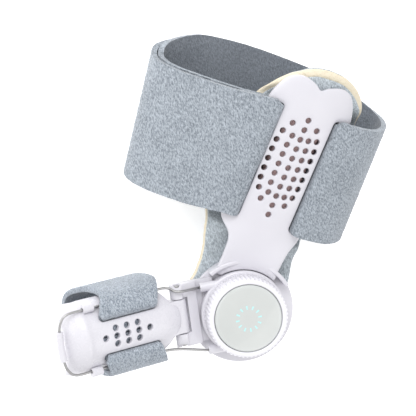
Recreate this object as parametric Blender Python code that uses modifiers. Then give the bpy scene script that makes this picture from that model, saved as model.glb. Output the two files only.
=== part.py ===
"""Bunion corrector: a vented foot plate with a plush strap, and a toe cuff on a swivelling, laced arm.

Run with: blender --background --python part.py
Units are metres and +Z is up. The part lies on the flat underside of its foot strap: the origin is the
middle of that underside, +Z is the dial's axis and +Y runs from the dial to the heel end of the plate.
Plan positions below are measured from the dial's axis, heights from the floor.
"""
import math

import bmesh
import bpy
from mathutils import Matrix, Vector

# General sizes. CUT_REACH is further than any cutter needs to go, UNION_LAP how far joined shapes overlap
GAP = 0.0003
DIAL_HEIGHT = 0.039
CUT_REACH = 0.1
UNION_LAP = 0.0003

# Foot plate
PLATE_AXIS_X = -0.0055
PLATE_WALL = 0.0024
PLATE_HALF_WIDTH = 0.0183
PLATE_CROWN_RADIUS = 0.032
NECK_CROWN_RADIUS = 0.110
PLATE_LENGTH = 0.1035
PLATE_SLOPE_DEG = 15.0
PLATE_BEND_Y = 0.040
PLATE_BEND_HEIGHT = 0.0305
PLATE_BEND_SOFTNESS = 0.006
NECK_HEIGHT = 0.0268
NECK_HALF_WIDTH = 0.0130
NECK_SHIFT = 0.0014
NECK_Y = 0.024
LOBE_HALF_WIDTH = 0.0170
LOBE_LENGTH = 0.0160
LOBE_NOTCH = 0.0034
LOBE_TABLE = (
    # share of the lobes' half width, share of their length back from the end, share of the notch
    (1.035, 0.594, 0.0),
    (0.847, 0.175, 0.0),
    (0.55, 0.0, 0.0),
    (0.20, 0.0, 0.42),
)
NECK_TABLE = (
    # share of the neck's half width, share of the way from the dial's axis to the neck
    (1.0, 0.50),
    (0.97, 0.917),
    (1.046, 1.25),
)

# Strap slots of the plate
SLOT_INNER = 0.0109
SLOT_WIDTH = 0.0034
SLOT_END_CLEARANCE = 0.0020
STRAP_NEAR_Y = 0.0385
STRAP_TO_PLATE_END = 0.01284

# Vent holes of the plate
VENT_RADIUS = 0.0012
VENT_PITCH = 0.0043
VENT_SKEW = 0.045
VENT_SHIFT = 0.0006
VENT_SIDES = 7
VENT_COLUMNS = (
    # across in pitches, holes, shift along in pitches, bow of the column's ends in pitches
    (0.0, 11, 0.0, 0.0),
    (1.0, 7, 0.12, 0.16),
    (2.0, 9, 0.30, 0.75),
)

# Hub under the dial
HUB_RADIUS = 0.0228
HUB_WALL = 0.0018
HUB_FLOOR_WALL = 0.0024
HUB_WALL_STEP = 0.0006
HUB_WALL_FROM_DEG = 50.0
HUB_WALL_TO_DEG = 150.0

# Pad layers
PAD_COVER_WALL = 0.0014
PAD_FOAM_WALL = 0.0036
PAD_LINING_WALL = 0.0014
PAD_INSET_TABLE = {
    # layer: inset at the sides, inset at the far end
    "pad_cover": (0.0012, 0.0036),
    "pad_foam": (0.0008, 0.0004),
    "pad_lining": (0.0020, 0.0),
}
PAD_HALF_WIDTH = 0.0250
PAD_OVERHANG = 0.0050
PAD_FLAT_HALF_WIDTH = 0.0085
PAD_WING_DROP = 0.0092
PAD_GROOVE_START = 0.0066
PAD_GROOVE_EDGE = 0.0004
PAD_GROOVE_EASE = 0.0060
PAD_GROOVE_MARGIN = 0.0010
PAD_HUB_EASE = 0.0140
PAD_NARROW_Y = 0.030
PAD_WIDE_Y = 0.048
PAD_END_LENGTH = 0.022
PAD_TIP_X = -0.0045
PAD_TIP_Y = 0.0020
PAD_TIP_RADIUS = 0.0212
PAD_RIGHT_TABLE = (
    # share of the half width, share of the way from the dial's axis to the narrowest stretch
    (0.91, 0.46),
    (0.85, 1.0),
)
PAD_LEFT_TABLE = (
    # share of the half width, share of the way from the dial's axis to the narrowest stretch
    (0.87, 1.0),
    (0.76, 0.66),
)
PAD_RIGHT_END_TABLE = (
    # share of the half width, share of the rounded end's length back from the pad's end
    (1.0, 1.0),
    (0.90, 0.386),
    (0.50, 0.036),
)
PAD_LEFT_END_TABLE = (
    # share of the half width, share of the rounded end's length back from the pad's end
    (0.98, 1.2),
    (0.73, 0.50),
    (0.38, 0.13),
)

# Foot strap
STRAP_WALL = 0.0024
LOOP_LEFT_NEAR = 0.0593
LOOP_LEFT_FAR = 0.0658
LOOP_RIGHT = 0.0380
LOOP_LEAN = 0.0215
STRAP_FOLD_RADIUS = 0.0013
BAR_LIFT_REACH = 0.0220
STRAP_STATIONS = 6
FLAT_LEFT_SHARE = 0.66
FLAT_RIGHT_SHARE = 0.40
FLAT_LEFT_LEAN = 0.82
FLAT_RIGHT_LEAN = 0.75
BAR_RUN = 0.004
OUTER_STEP = 0.0011
OUTER_STEP_RUN = 0.020
TAIL_LENGTH = 0.0045
TAIL_DROP = 0.0010
# The loop's section from the left bar, round the bottom, to the right bar
LOOP_SECTION = (
    # side, share of that side's width, share of the height, share of the lean towards the heel end
    ("left", 0.42, 0.985, -0.03),
    ("left", 0.64, 0.865, -0.05),
    ("left", 0.84, 0.66, -0.05),
    ("left", 0.955, 0.43, 0.03),
    ("left", 0.945, 0.20, 0.30),
    ("left", 0.82, 0.055, 0.58),
    ("left", FLAT_LEFT_SHARE, 0.0, 0.74),
    ("left", 0.30, 0.0, FLAT_LEFT_LEAN),
    ("right", FLAT_RIGHT_SHARE, 0.0, FLAT_RIGHT_LEAN),
    ("right", 0.72, 0.04, 0.54),
    ("right", 0.93, 0.20, 0.38),
    ("right", 0.965, 0.44, 0.26),
    ("right", 0.90, 0.70, 0.14),
    ("right", 0.74, 0.90, 0.04),
)
OVERLAP_FROM = 0.40

# Dial
CAP_RADIUS = 0.0143
CAP_HEIGHT = 0.0040
CAP_DOME = 0.0005
CAP_BEVEL = 0.0005
RING_RADIUS = 0.0172
RING_HEIGHT = 0.0115
RING_LIP = 0.0004
RING_BEVEL = 0.0008
KNURLS = 44
KNURL_DEPTH = 0.0005
HOUSING_RADIUS = 0.0182
HOUSING_HEIGHT = 0.0042
HOUSING_BEVEL = 0.0006
ARM_RING_RADIUS = 0.0182
SPINDLE_RADIUS = 0.0050

# Toe arm and knuckle
ARM_DIRECTION_DEG = 207.7
ARM_OFFSET = -0.0034
ARM_WALL = 0.0024
FORK_WIDTH = 0.0270
FORK_FOOT_START = 0.0110
PIN_REACH = 0.0270
PIN_HEIGHT = 0.0262
PIN_RADIUS = 0.0011
KNUCKLE_RADIUS = 0.0033
FORK_SHOULDER = 0.0030
TONGUE_WIDTH = 0.0146
TONGUE_GAP = 0.0004
TONGUE_LENGTH = 0.0112
TONGUE_ROOT_WALL = 0.0026
MOUTH_CLEARANCE = 0.0006
PIN_INSET = 0.0004
FORK_FOOT_RUN = 0.0116
FORK_TABLE = (
    # share of the fork's run from the housing, share of the rise from the arm's top to the pin
    (0.0, 0.0),
    (0.05, 0.58),
    (0.35, 0.86),
    (0.75, 1.20),
)
CROWN_TABLE = (
    # shares of the fork's shoulder in from its side, and down from its top
    (0.0, 1.0),
    (0.7, 0.31),
    (1.6, -0.04),
)
NOSE_RADIUS = 0.0020
NOSE_ALONG = 0.0110
NOSE_ACROSS = 0.0137
NOSE_LENGTH = 0.0060
NOSE_ROOT = 0.0040

# Toe cuff, in its own frame: along the toe from the pin, across it, and out from it
CUFF_TILT_DEG = 22.0
CUFF_START = 0.0018
CUFF_LENGTH = 0.0512
CUFF_HALF_WIDTH = 0.0155
CUFF_WALL = 0.0020
CUFF_CROWN = 0.0052
CUFF_RADIUS = 0.0160
CUFF_TIP_ROLL = 0.0056
CUFF_TIP_ROLL_LENGTH = 0.0062
CUFF_TIP_CREASE = 0.35
CUFF_HEEL_DROP = 0.0021
CUFF_HEEL_LENGTH = 0.0090
CUFF_SLOT_INNER = 0.0068
CUFF_SLOT_WIDTH = 0.0032
CUFF_VENT_RADIUS = 0.0014
CUFF_VENT_ALONG = 0.0052
CUFF_VENT_ACROSS = 0.0033
CUFF_VENT_SHIFT = 0.0020
CUFF_MARGIN = 0.0020
CUFF_NECK_LENGTH = 0.0140
CUFF_CORNER = 0.0080
CUFF_TIP_BOW = 0.0006
CUFF_TABLE = (
    # share of the half width, share of the neck's length, share of the corner's length back from the tip
    (0.25, 0.0, None),
    (0.52, 0.27, None),
    (0.86, 0.57, None),
    (1.0, 1.0, None),
    (1.0, None, 1.0),
    (0.97, None, 0.25),
    (0.80, None, 0.0),
)

# Toe strap
TOE_STRAP_WALL = 0.0024
TOE_STRAP_INSET = 0.0107
TOE_STRAP_TO_GUIDE = 0.0010
TOE_SLOT_CLEARANCE = 0.0018
TOE_TAIL_SPACE = 0.0014
TOE_LOOP_DEPTH = 0.0330
TOE_LOOP_HALF_WIDTH = 0.0172
TOE_STRAP_STATIONS = 4
TOE_STRAP_LEAN = 0.0045

# Lace and its guides
LACE_RADIUS = 0.0006
LACE_CLEARANCE = 0.0003
GUIDE_RADIUS = 0.0019
GUIDE_LENGTH = 0.0046
GUIDE_FROM_TIP = 0.0102
GUIDE_SINK = 0.0002
SLEEVE_RADIUS = 0.0015
SLEEVE_LENGTH = 0.0130
LACE_SIDE_CLEARANCE = 0.0004
LACE_TIP_CLEARANCE = 0.0034
LACE_IN_NOSE = 0.0030
PRONG_ACROSS = 0.0115
PRONG_ALONG = 0.0020
LACE_TIP_TABLE = (
    # shares of the tip's clearance along, and across in from the guide, and down from the guide
    (-0.25, 0.20, 0.10),
    (0.60, 0.90, 0.25),
)
SHOULDER_DEG = 50.0

# Worked out from the sizes above
SLOPE = math.tan(math.radians(PLATE_SLOPE_DEG))
STRAP_FAR_Y = PLATE_LENGTH - STRAP_TO_PLATE_END
STRAP_RUN = STRAP_FAR_Y - STRAP_NEAR_Y
STRAP_MIDDLE_Y = (STRAP_NEAR_Y + STRAP_FAR_Y) / 2.0
LOOP_LEFT_MIDDLE = (LOOP_LEFT_NEAR + LOOP_LEFT_FAR) / 2.0
LOOP_MIDDLE_X = PLATE_AXIS_X + (FLAT_RIGHT_SHARE * LOOP_RIGHT - FLAT_LEFT_SHARE * LOOP_LEFT_MIDDLE) / 2.0
LOOP_MIDDLE_Y = STRAP_MIDDLE_Y + LOOP_LEAN * (FLAT_LEFT_LEAN + FLAT_RIGHT_LEAN) / 2.0
CUFF_END = CUFF_START + CUFF_LENGTH
GUIDE_ALONG = CUFF_END - GUIDE_FROM_TIP
TOE_STRAP_START = CUFF_START + TOE_STRAP_INSET
TOE_STRAP_END = GUIDE_ALONG - GUIDE_LENGTH / 2.0 - TOE_STRAP_TO_GUIDE
CAP_TOP = DIAL_HEIGHT
CAP_SEAT = CAP_TOP - CAP_HEIGHT - GAP
RING_BASE = CAP_TOP - RING_LIP - RING_HEIGHT
HOUSING_BASE = RING_BASE - GAP - HOUSING_HEIGHT
ARM_RING_BASE = HOUSING_BASE - GAP - ARM_WALL
HUB_TOP = ARM_RING_BASE - GAP
PAD_TOP_AT_HUB = HUB_TOP - HUB_FLOOR_WALL - GAP


def spine_height(y):
    """Height of the plate's outer face on its own axis: a gentle neck, then the slope to the heel end."""
    past = y - PLATE_BEND_Y
    bend = (past + math.hypot(past, PLATE_BEND_SOFTNESS)) / 2.0
    rise = (PLATE_BEND_HEIGHT - NECK_HEIGHT) / (PLATE_BEND_Y - NECK_Y)
    return PLATE_BEND_HEIGHT + rise * past + (SLOPE - rise) * bend


def soft_step(share):
    share = min(1.0, max(0.0, share))
    return share * share * (3.0 - 2.0 * share)


def crown_drop(across, y):
    """How far the plate's face has fallen beside its axis; the neck is flatter than the rest."""
    share = soft_step((y - NECK_Y) / (STRAP_NEAR_Y - NECK_Y))
    return across * across / 2.0 * ((1.0 - share) / NECK_CROWN_RADIUS + share / PLATE_CROWN_RADIUS)


def plate_face(x, y):
    return spine_height(y) - crown_drop(x - PLATE_AXIS_X, y)


def smooth_path(points, per_span, closed=False):
    """Points of a smooth curve that passes through the given ones."""
    count = len(points)
    spans = count if closed else count - 1
    result = []
    for span in range(spans):
        if closed:
            before, start, end, after = (points[(span + k) % count] for k in (-1, 0, 1, 2))
        else:
            start, end = points[span], points[span + 1]
            before = points[max(span - 1, 0)]
            after = points[min(span + 2, count - 1)]
        for step in range(per_span):
            t = step / per_span
            near = start * (1.0 - 2.5 * t * t + 1.5 * t ** 3) + end * (0.5 * t + 2.0 * t * t - 1.5 * t ** 3)
            far = before * (-0.5 * t + t * t - 0.5 * t ** 3) + after * (-0.5 * t * t + 0.5 * t ** 3)
            result.append(near + far)
    if not closed:
        result.append(points[-1].copy())
    return result


def arc(centre, radius, from_deg, to_deg, count):
    angles = [math.radians(from_deg + (to_deg - from_deg) * k / (count - 1)) for k in range(count)]
    return [Vector((centre[0] + radius * math.cos(a), centre[1] + radius * math.sin(a))) for a in angles]


def slot_outline(x0, x1, y0, y1, corner_steps=3):
    """A slot along Y with round ends."""
    radius = (x1 - x0) / 2.0
    middle = (x0 + x1) / 2.0
    return (arc((middle, y1 - radius), radius, 0.0, 180.0, 2 * corner_steps + 1)
            + arc((middle, y0 + radius), radius, 180.0, 360.0, 2 * corner_steps + 1))


def circle_outline(x, y, radius, sides):
    step = 360.0 / sides
    return arc((x, y), radius, 0.35 * step, 360.0 - 0.65 * step, sides)


# Start from an empty scene with one collection for the parts and one for the cutters
for leftover in list(bpy.data.objects):
    bpy.data.objects.remove(leftover, do_unlink=True)
parts = bpy.data.collections.new("bunion_corrector")
cutters = bpy.data.collections.new("cutters")
bpy.context.scene.collection.children.link(parts)
bpy.context.scene.collection.children.link(cutters)


def material(name, colour, roughness, metallic=0.0):
    made = bpy.data.materials.new(name)
    made.use_nodes = True
    shader = made.node_tree.nodes["Principled BSDF"]
    shader.inputs["Base Color"].default_value = (*colour, 1.0)
    shader.inputs["Roughness"].default_value = roughness
    shader.inputs["Metallic"].default_value = metallic
    return made


WHITE_PLASTIC = (0.86, 0.86, 0.90)
GREY_PLUSH = (0.36, 0.39, 0.42)
CREAM_FOAM = (0.82, 0.77, 0.66)
CAP_GREY = (0.55, 0.60, 0.58)
STEEL = (0.62, 0.62, 0.64)


def empty(name, location, turn=Matrix.Identity(4), parent=None):
    holder = bpy.data.objects.new(name, None)
    parts.objects.link(holder)
    holder.parent = parent
    holder.matrix_local = Matrix.Translation(location) @ turn
    return holder


# The frame: the dial's axis, the arm that turns about it, and the cuff that tilts on the arm's pin
root = empty("brace_frame", Vector((-LOOP_MIDDLE_X, -LOOP_MIDDLE_Y, 0.0)))
arm_frame = empty("arm_frame", Vector(), Matrix.Rotation(math.radians(ARM_DIRECTION_DEG), 4, "Z"), root)
fork_frame = empty("fork_frame", Vector((0.0, ARM_OFFSET, 0.0)), parent=arm_frame)
cuff_frame = empty("cuff_frame", Vector((PIN_REACH, ARM_OFFSET, PIN_HEIGHT)),
                   Matrix.Rotation(math.radians(-CUFF_TILT_DEG), 4, "Y"), arm_frame)


def new_object(name, mesh, parent, look=None, cutter=False):
    thing = bpy.data.objects.new(name, mesh)
    (cutters if cutter else parts).objects.link(thing)
    thing.parent = parent
    if cutter:
        thing.hide_render = True
        thing.display_type = "WIRE"
    if look:
        mesh.materials.clear()
        mesh.materials.append(look)
    return thing


def mesh_from(bm, name):
    mesh = bpy.data.meshes.new(name)
    bmesh.ops.recalc_face_normals(bm, faces=bm.faces[:])
    bm.to_mesh(mesh)
    bm.free()
    return mesh


def curve_object(name, loops, half_height):
    """A flat outline with holes, filled and extruded by half_height to both sides."""
    data = bpy.data.curves.new(name, "CURVE")
    data.dimensions = "2D"
    data.fill_mode = "BOTH"
    data.extrude = half_height
    for loop in loops:
        spline = data.splines.new("POLY")
        spline.points.add(len(loop) - 1)
        for point, place in zip(spline.points, loop):
            point.co = (place[0], place[1], 0.0, 1.0)
        spline.use_cyclic_u = True
    return bpy.data.objects.new(name, data)


def curve_to_mesh(thing, name):
    """The evaluated curve as a welded mesh; the curve is removed."""
    bpy.context.scene.collection.objects.link(thing)
    bpy.context.view_layer.update()
    graph = bpy.context.evaluated_depsgraph_get()
    mesh = bpy.data.meshes.new_from_object(thing.evaluated_get(graph))
    bm = bmesh.new()
    bm.from_mesh(mesh)
    bmesh.ops.remove_doubles(bm, verts=bm.verts[:], dist=0.000002)
    bmesh.ops.recalc_face_normals(bm, faces=bm.faces[:])
    bm.to_mesh(mesh)
    bm.free()
    mesh.name = name
    bpy.data.objects.remove(thing, do_unlink=True)
    return mesh


def prism_mesh(name, loops, low, high):
    mesh = curve_to_mesh(curve_object(name, loops, (high - low) / 2.0), name)
    mesh.transform(Matrix.Translation((0.0, 0.0, (high + low) / 2.0)))
    return mesh


def wire_mesh(name, points, radius, resolution=2):
    """A round tube along a list of points, with capped ends."""
    data = bpy.data.curves.new(name, "CURVE")
    data.dimensions = "3D"
    data.bevel_depth = radius
    data.bevel_resolution = resolution
    data.use_fill_caps = True
    spline = data.splines.new("POLY")
    spline.points.add(len(points) - 1)
    for point, place in zip(spline.points, points):
        point.co = (*place, 1.0)
    return curve_to_mesh(bpy.data.objects.new(name, data), name)


def loft_mesh(name, rows):
    """An open surface through rows of points."""
    bm = bmesh.new()
    grid = [[bm.verts.new(place) for place in row] for row in rows]
    for near, far in zip(grid, grid[1:]):
        for k in range(len(near) - 1):
            bm.faces.new((near[k], near[k + 1], far[k + 1], far[k]))
    mesh = bpy.data.meshes.new(name)
    bm.to_mesh(mesh)
    bm.free()
    return mesh


def thicken(thing, thickness, offset):
    wall = thing.modifiers.new("wall", "SOLIDIFY")
    wall.thickness = thickness
    wall.offset = offset
    wall.use_even_offset = True


def boolean(thing, other, operation):
    cut = thing.modifiers.new(operation.lower(), "BOOLEAN")
    cut.operation = operation
    cut.solver = "EXACT"
    cut.object = other


def shell_mesh(name, height, xs, ys, wall):
    """A closed sheet whose outer face has the given height function, wall measured straight down."""
    bm = bmesh.new()
    upper = [[bm.verts.new((x, y, height(x, y))) for x in xs] for y in ys]
    lower = [[bm.verts.new((x, y, height(x, y) - wall)) for x in xs] for y in ys]
    for j in range(len(ys) - 1):
        for i in range(len(xs) - 1):
            # Both faces are split along the same diagonal, so that layers stay a constant gap apart
            for sheet in (upper, lower):
                bm.faces.new((sheet[j][i], sheet[j][i + 1], sheet[j + 1][i + 1]))
                bm.faces.new((sheet[j][i], sheet[j + 1][i + 1], sheet[j + 1][i]))
    last_row, last_column = len(ys) - 1, len(xs) - 1
    for i in range(last_column):
        bm.faces.new((lower[0][i], lower[0][i + 1], upper[0][i + 1], upper[0][i]))
        bm.faces.new((upper[last_row][i], upper[last_row][i + 1], lower[last_row][i + 1],
                      lower[last_row][i]))
    for j in range(last_row):
        bm.faces.new((upper[j][0], upper[j + 1][0], lower[j + 1][0], lower[j][0]))
        bm.faces.new((lower[j][last_column], lower[j + 1][last_column], upper[j + 1][last_column],
                      upper[j][last_column]))
    return mesh_from(bm, name)


def spread(start, end, count):
    return [start + (end - start) * k / (count - 1) for k in range(count)]


def turned_mesh(name, profile, steps):
    """A closed profile of radius and height pairs turned about Z."""
    bm = bmesh.new()
    ring = [bm.verts.new((radius, 0.0, height)) for radius, height in profile]
    edges = [bm.edges.new((ring[k], ring[(k + 1) % len(ring)])) for k in range(len(ring))]
    bmesh.ops.spin(bm, geom=ring + edges, cent=(0, 0, 0), axis=(0, 0, 1), angle=math.tau, steps=steps,
                   use_merge=True)
    bmesh.ops.remove_doubles(bm, verts=bm.verts[:], dist=0.000002)
    return mesh_from(bm, name)


# Foot plate: a curved sheet cut to its outline, slots and vents, joined to the hub's cup
def plate_outline():
    near = [(NECK_SHIFT + NECK_HALF_WIDTH * wide, NECK_Y * along) for wide, along in NECK_TABLE]
    sides = [(PLATE_HALF_WIDTH * 0.956, STRAP_NEAR_Y * 0.948), (PLATE_HALF_WIDTH, STRAP_NEAR_Y * 1.156),
             (PLATE_HALF_WIDTH, PLATE_LENGTH - LOBE_LENGTH)]
    lobe = [(LOBE_HALF_WIDTH * wide, PLATE_LENGTH - LOBE_LENGTH * back - LOBE_NOTCH * notch)
            for wide, back, notch in LOBE_TABLE]
    right = near + sides + lobe
    left = [(-x + (2.0 * NECK_SHIFT if k < len(near) else 0.0), y) for k, (x, y) in enumerate(right)]
    whole = right + [(0.0, PLATE_LENGTH - LOBE_NOTCH)] + left[::-1]
    return smooth_path([Vector((PLATE_AXIS_X + x, y)) for x, y in whole], 2)


def vent_centres():
    places = []
    for across, count, shift, bow in VENT_COLUMNS:
        for side in (1.0, -1.0) if across else (1.0,):
            for k in range(count):
                share = 2.0 * k / (count - 1) - 1.0
                reach = side * (across - bow * share * share * share * share)
                # The columns lie a little closer together on the right of the plate
                reach -= VENT_SKEW * reach * reach
                along = (share * (count - 1) / 2.0 + shift) * VENT_PITCH
                places.append((PLATE_AXIS_X + reach * VENT_PITCH, STRAP_MIDDLE_Y + VENT_SHIFT + along))
    return places


def make_foot_plate():
    reach = PLATE_HALF_WIDTH * 1.31
    xs = spread(PLATE_AXIS_X - reach, PLATE_AXIS_X + reach, 9)
    ys = spread(0.0, PLATE_LENGTH * 1.04, 15)
    mesh = shell_mesh("foot_plate", plate_face, xs, ys, PLATE_WALL)
    plate = new_object("foot_plate", mesh, root, material("white_plastic", WHITE_PLASTIC, 0.25))
    loops = [plate_outline()]
    for side in (-1.0, 1.0):
        inner = PLATE_AXIS_X + side * SLOT_INNER
        outer = PLATE_AXIS_X + side * (SLOT_INNER + SLOT_WIDTH)
        loops.append(slot_outline(min(inner, outer), max(inner, outer), STRAP_NEAR_Y - SLOT_END_CLEARANCE,
                                  STRAP_FAR_Y + SLOT_END_CLEARANCE, 1))
    loops += [circle_outline(x, y, VENT_RADIUS, VENT_SIDES) for x, y in vent_centres()]
    outline = new_object("plate_outline", prism_mesh("plate_outline", loops, -CUT_REACH, CUT_REACH), root,
                         cutter=True)
    boolean(plate, outline, "INTERSECT")
    # The recess for the housing, then the cup that carries the arm
    recess_radius = HUB_RADIUS - HUB_WALL
    recess_outline = circle_outline(0, 0, HOUSING_RADIUS + GAP, 48)
    recess = new_object("hub_recess", prism_mesh("hub_recess", [recess_outline], -CUT_REACH, CUT_REACH),
                        root, cutter=True)
    boolean(plate, recess, "DIFFERENCE")
    rim = plate_face(0.0, HUB_RADIUS)
    base = HUB_TOP - HUB_FLOOR_WALL
    wall = arc((0, 0), HUB_RADIUS, HUB_WALL_FROM_DEG, HUB_WALL_TO_DEG, 17)
    wall += arc((0, 0), recess_radius, HUB_WALL_TO_DEG, HUB_WALL_FROM_DEG, 17)
    cup_wall = new_object("hub_wall", prism_mesh("hub_wall", [wall], base, rim - HUB_WALL_STEP), root,
                          cutter=True)
    # The floor starts a hair above the wall's foot, so that the two don't share a plane
    floor_outline = circle_outline(0, 0, recess_radius + UNION_LAP, 48)
    floor = new_object("hub_floor", prism_mesh("hub_floor", [floor_outline], base + GAP * 0.03, HUB_TOP),
                       root, cutter=True)
    boolean(plate, cup_wall, "UNION")
    boolean(plate, floor, "UNION")


# Pad layers: three sheets that follow the plate's underside and turn down at the sides
def pad_groove(across, y):
    """How far the folded strap presses the pad down, beside the plate's flat middle."""
    room = STRAP_WALL + 2.0 * GAP + crown_drop(PLATE_HALF_WIDTH, y)
    press = soft_step((across - PAD_GROOVE_START) / (SLOT_INNER - PAD_GROOVE_EDGE - PAD_GROOVE_START))
    before = y - STRAP_NEAR_Y + PAD_GROOVE_MARGIN + PAD_GROOVE_EASE
    after = STRAP_FAR_Y + PAD_GROOVE_MARGIN + PAD_GROOVE_EASE - y
    inside = soft_step(before / PAD_GROOVE_EASE) * soft_step(after / PAD_GROOVE_EASE)
    return room * press * inside


def pad_face(depth):
    def height(x, y):
        across = abs(x - PLATE_AXIS_X)
        past = max(0.0, across - PAD_FLAT_HALF_WIDTH) / (PAD_HALF_WIDTH - PAD_FLAT_HALF_WIDTH)
        wing = PAD_WING_DROP * past ** 1.35 + pad_groove(across, y) * (1.0 - 0.4 * past * past)
        under_plate = spine_height(y) - PLATE_WALL - GAP
        ease = soft_step((y - HUB_RADIUS - PAD_GROOVE_MARGIN) / PAD_HUB_EASE)
        crown = crown_drop(min(across, PAD_FLAT_HALF_WIDTH), y)
        return PAD_TOP_AT_HUB + (under_plate - crown - wing - PAD_TOP_AT_HUB) * ease - depth
    return height


def pad_outline(inset, end_inset):
    end = PLATE_LENGTH + PAD_OVERHANG - end_inset
    half = PAD_HALF_WIDTH - inset
    right = [(half * wide, PAD_NARROW_Y * along) for wide, along in PAD_RIGHT_TABLE] + [(half, PAD_WIDE_Y)]
    right += [(half * wide, end - PAD_END_LENGTH * back) for wide, back in PAD_RIGHT_END_TABLE]
    left = [(-half * wide, end - PAD_END_LENGTH * back) for wide, back in PAD_LEFT_END_TABLE[::-1]]
    left += [(-half, PAD_WIDE_Y)] + [(-half * wide, PAD_NARROW_Y * along) for wide, along in PAD_LEFT_TABLE]
    points = [Vector((PLATE_AXIS_X + x, y)) for x, y in right + [(0.0, end + LOBE_NOTCH * 0.14)] + left]
    points += arc((PAD_TIP_X, PAD_TIP_Y), PAD_TIP_RADIUS - inset, 158.0, 325.0, 7)
    return smooth_path(points, 2, closed=True)


def make_pad_layer(name, depth, wall, look):
    bands = (0.0, PAD_GROOVE_START, SLOT_INNER - PAD_GROOVE_EDGE, PAD_HALF_WIDTH * 0.6, PAD_HALF_WIDTH * 0.8,
             PAD_HALF_WIDTH * 1.32)
    xs = [PLATE_AXIS_X - band for band in reversed(bands[1:])] + [PLATE_AXIS_X + band for band in bands]
    groove_reach = PAD_GROOVE_MARGIN + PAD_GROOVE_EASE
    ys = [PAD_TIP_Y - PAD_TIP_RADIUS * 1.6, 0.0, HUB_RADIUS, HUB_RADIUS * 1.23, STRAP_NEAR_Y - groove_reach,
          STRAP_NEAR_Y - PAD_GROOVE_MARGIN, STRAP_NEAR_Y + STRAP_RUN * 0.34, STRAP_NEAR_Y + STRAP_RUN * 0.68,
          STRAP_FAR_Y + PAD_GROOVE_MARGIN, STRAP_FAR_Y + groove_reach, PLATE_LENGTH + PAD_OVERHANG * 2.0]
    layer = new_object(name, shell_mesh(name, pad_face(depth), xs, ys, wall), root, look)
    loops = [pad_outline(*PAD_INSET_TABLE[name])]
    edge = new_object(name + "_outline", prism_mesh(name + "_outline", loops, -CUT_REACH, CUT_REACH), root,
                      cutter=True)
    boolean(layer, edge, "INTERSECT")


def make_pad():
    foam_depth = PAD_COVER_WALL + GAP
    lining_depth = foam_depth + PAD_FOAM_WALL + GAP
    make_pad_layer("pad_cover", 0.0, PAD_COVER_WALL, material("pad_cover_plush", GREY_PLUSH, 0.95))
    make_pad_layer("pad_foam", foam_depth, PAD_FOAM_WALL, material("cream_foam", CREAM_FOAM, 0.9))
    make_pad_layer("pad_lining", lining_depth, PAD_LINING_WALL,
                   material("pad_lining_plush", GREY_PLUSH, 0.95))


# Foot strap: one band, folded over the left bar and back, round the loop, and through the right slot
def fold_through_slot(side, over, under):
    """The band's turn over the bar's inner edge, down through the slot and back under the bar."""
    slot = SLOT_INNER + SLOT_WIDTH / 2.0
    centre = slot + STRAP_FOLD_RADIUS
    upper = arc((centre, over - STRAP_FOLD_RADIUS), STRAP_FOLD_RADIUS, 90.0, 180.0, 4)
    lower = arc((centre, under + STRAP_FOLD_RADIUS), STRAP_FOLD_RADIUS, 180.0, 270.0, 4)
    return [Vector((side * p.x, p.y, 0.0)) for p in upper + lower]


def strap_section(share):
    """Centre line of the band at one station: across, height, shift towards the heel end."""
    top_y = STRAP_NEAR_Y + share * STRAP_RUN
    left = LOOP_LEFT_NEAR + share * (LOOP_LEFT_FAR - LOOP_LEFT_NEAR)
    slot_edge = SLOT_INNER + SLOT_WIDTH
    bar_top = plate_face(PLATE_AXIS_X + slot_edge, top_y)
    bar_drop = crown_drop(PLATE_HALF_WIDTH, top_y) - crown_drop(slot_edge, top_y)
    over = bar_top + GAP + STRAP_WALL / 2.0
    under = bar_top - bar_drop - PLATE_WALL - GAP - STRAP_WALL / 2.0
    low = STRAP_WALL / 2.0
    pitch = STRAP_WALL + GAP
    bar = (slot_edge + PLATE_HALF_WIDTH) / 2.0
    reach = {"left": (-left, under - low), "right": (LOOP_RIGHT, over - low)}
    loop = [Vector((reach[side][0] * wide, low + reach[side][1] * high, LOOP_LEAN * lean))
            for side, wide, high, lean in LOOP_SECTION]
    left_start = [Vector((-bar, under, 0.0)), Vector((-bar - BAR_RUN, under - GAP / 3.0, 0.0))]
    right_end = [Vector((bar + BAR_RUN * 0.75, over - GAP, 0.0)), Vector((bar, over, 0.0))]
    main = smooth_path(left_start + loop + right_end, 2)
    main = [Vector((p.x, max(p.y, low), p.z)) for p in main]
    # The outer layer of the left side lies one pitch outside the main loop, and more near the bar. Away from
    # the bar it also lies a little nearer to the dial, so that the inner layer's edge shows
    outer = []
    for k in range(4, int(len(main) * OVERLAP_FROM)):
        along = main[k + 1] - main[k - 1]
        outward = Vector((along.y, -along.x, 0.0)).normalized()
        near_bar = max(0.0, 1.0 - (-main[k].x - bar) / BAR_LIFT_REACH)
        step = OUTER_STEP * soft_step((-main[k].x - bar) / OUTER_STEP_RUN)
        lift = pitch + (over - under - pitch) * near_bar ** 2
        outer.append(main[k] + outward * lift - Vector((0.0, 0.0, step)))
    outer.reverse()
    outer.append(Vector((-bar - BAR_RUN / 8.0, over, 0.0)))
    left_fold = fold_through_slot(-1.0, over, under)
    right_fold = fold_through_slot(1.0, over, under)
    right_tail = [Vector((bar, under, 0.0)), Vector((bar + TAIL_LENGTH, under - TAIL_DROP, 0.0))]
    return outer + left_fold + main + right_fold + right_tail, top_y


def make_foot_strap():
    rows = []
    for station in range(STRAP_STATIONS):
        section, top_y = strap_section(station / (STRAP_STATIONS - 1))
        rows.append([Vector((PLATE_AXIS_X + p.x, top_y + p.z, p.y)) for p in section])
    strap = new_object("foot_strap", loft_mesh("foot_strap", rows), root,
                       material("grey_plush", GREY_PLUSH, 0.95))
    thicken(strap, STRAP_WALL, 0.0)


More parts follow.
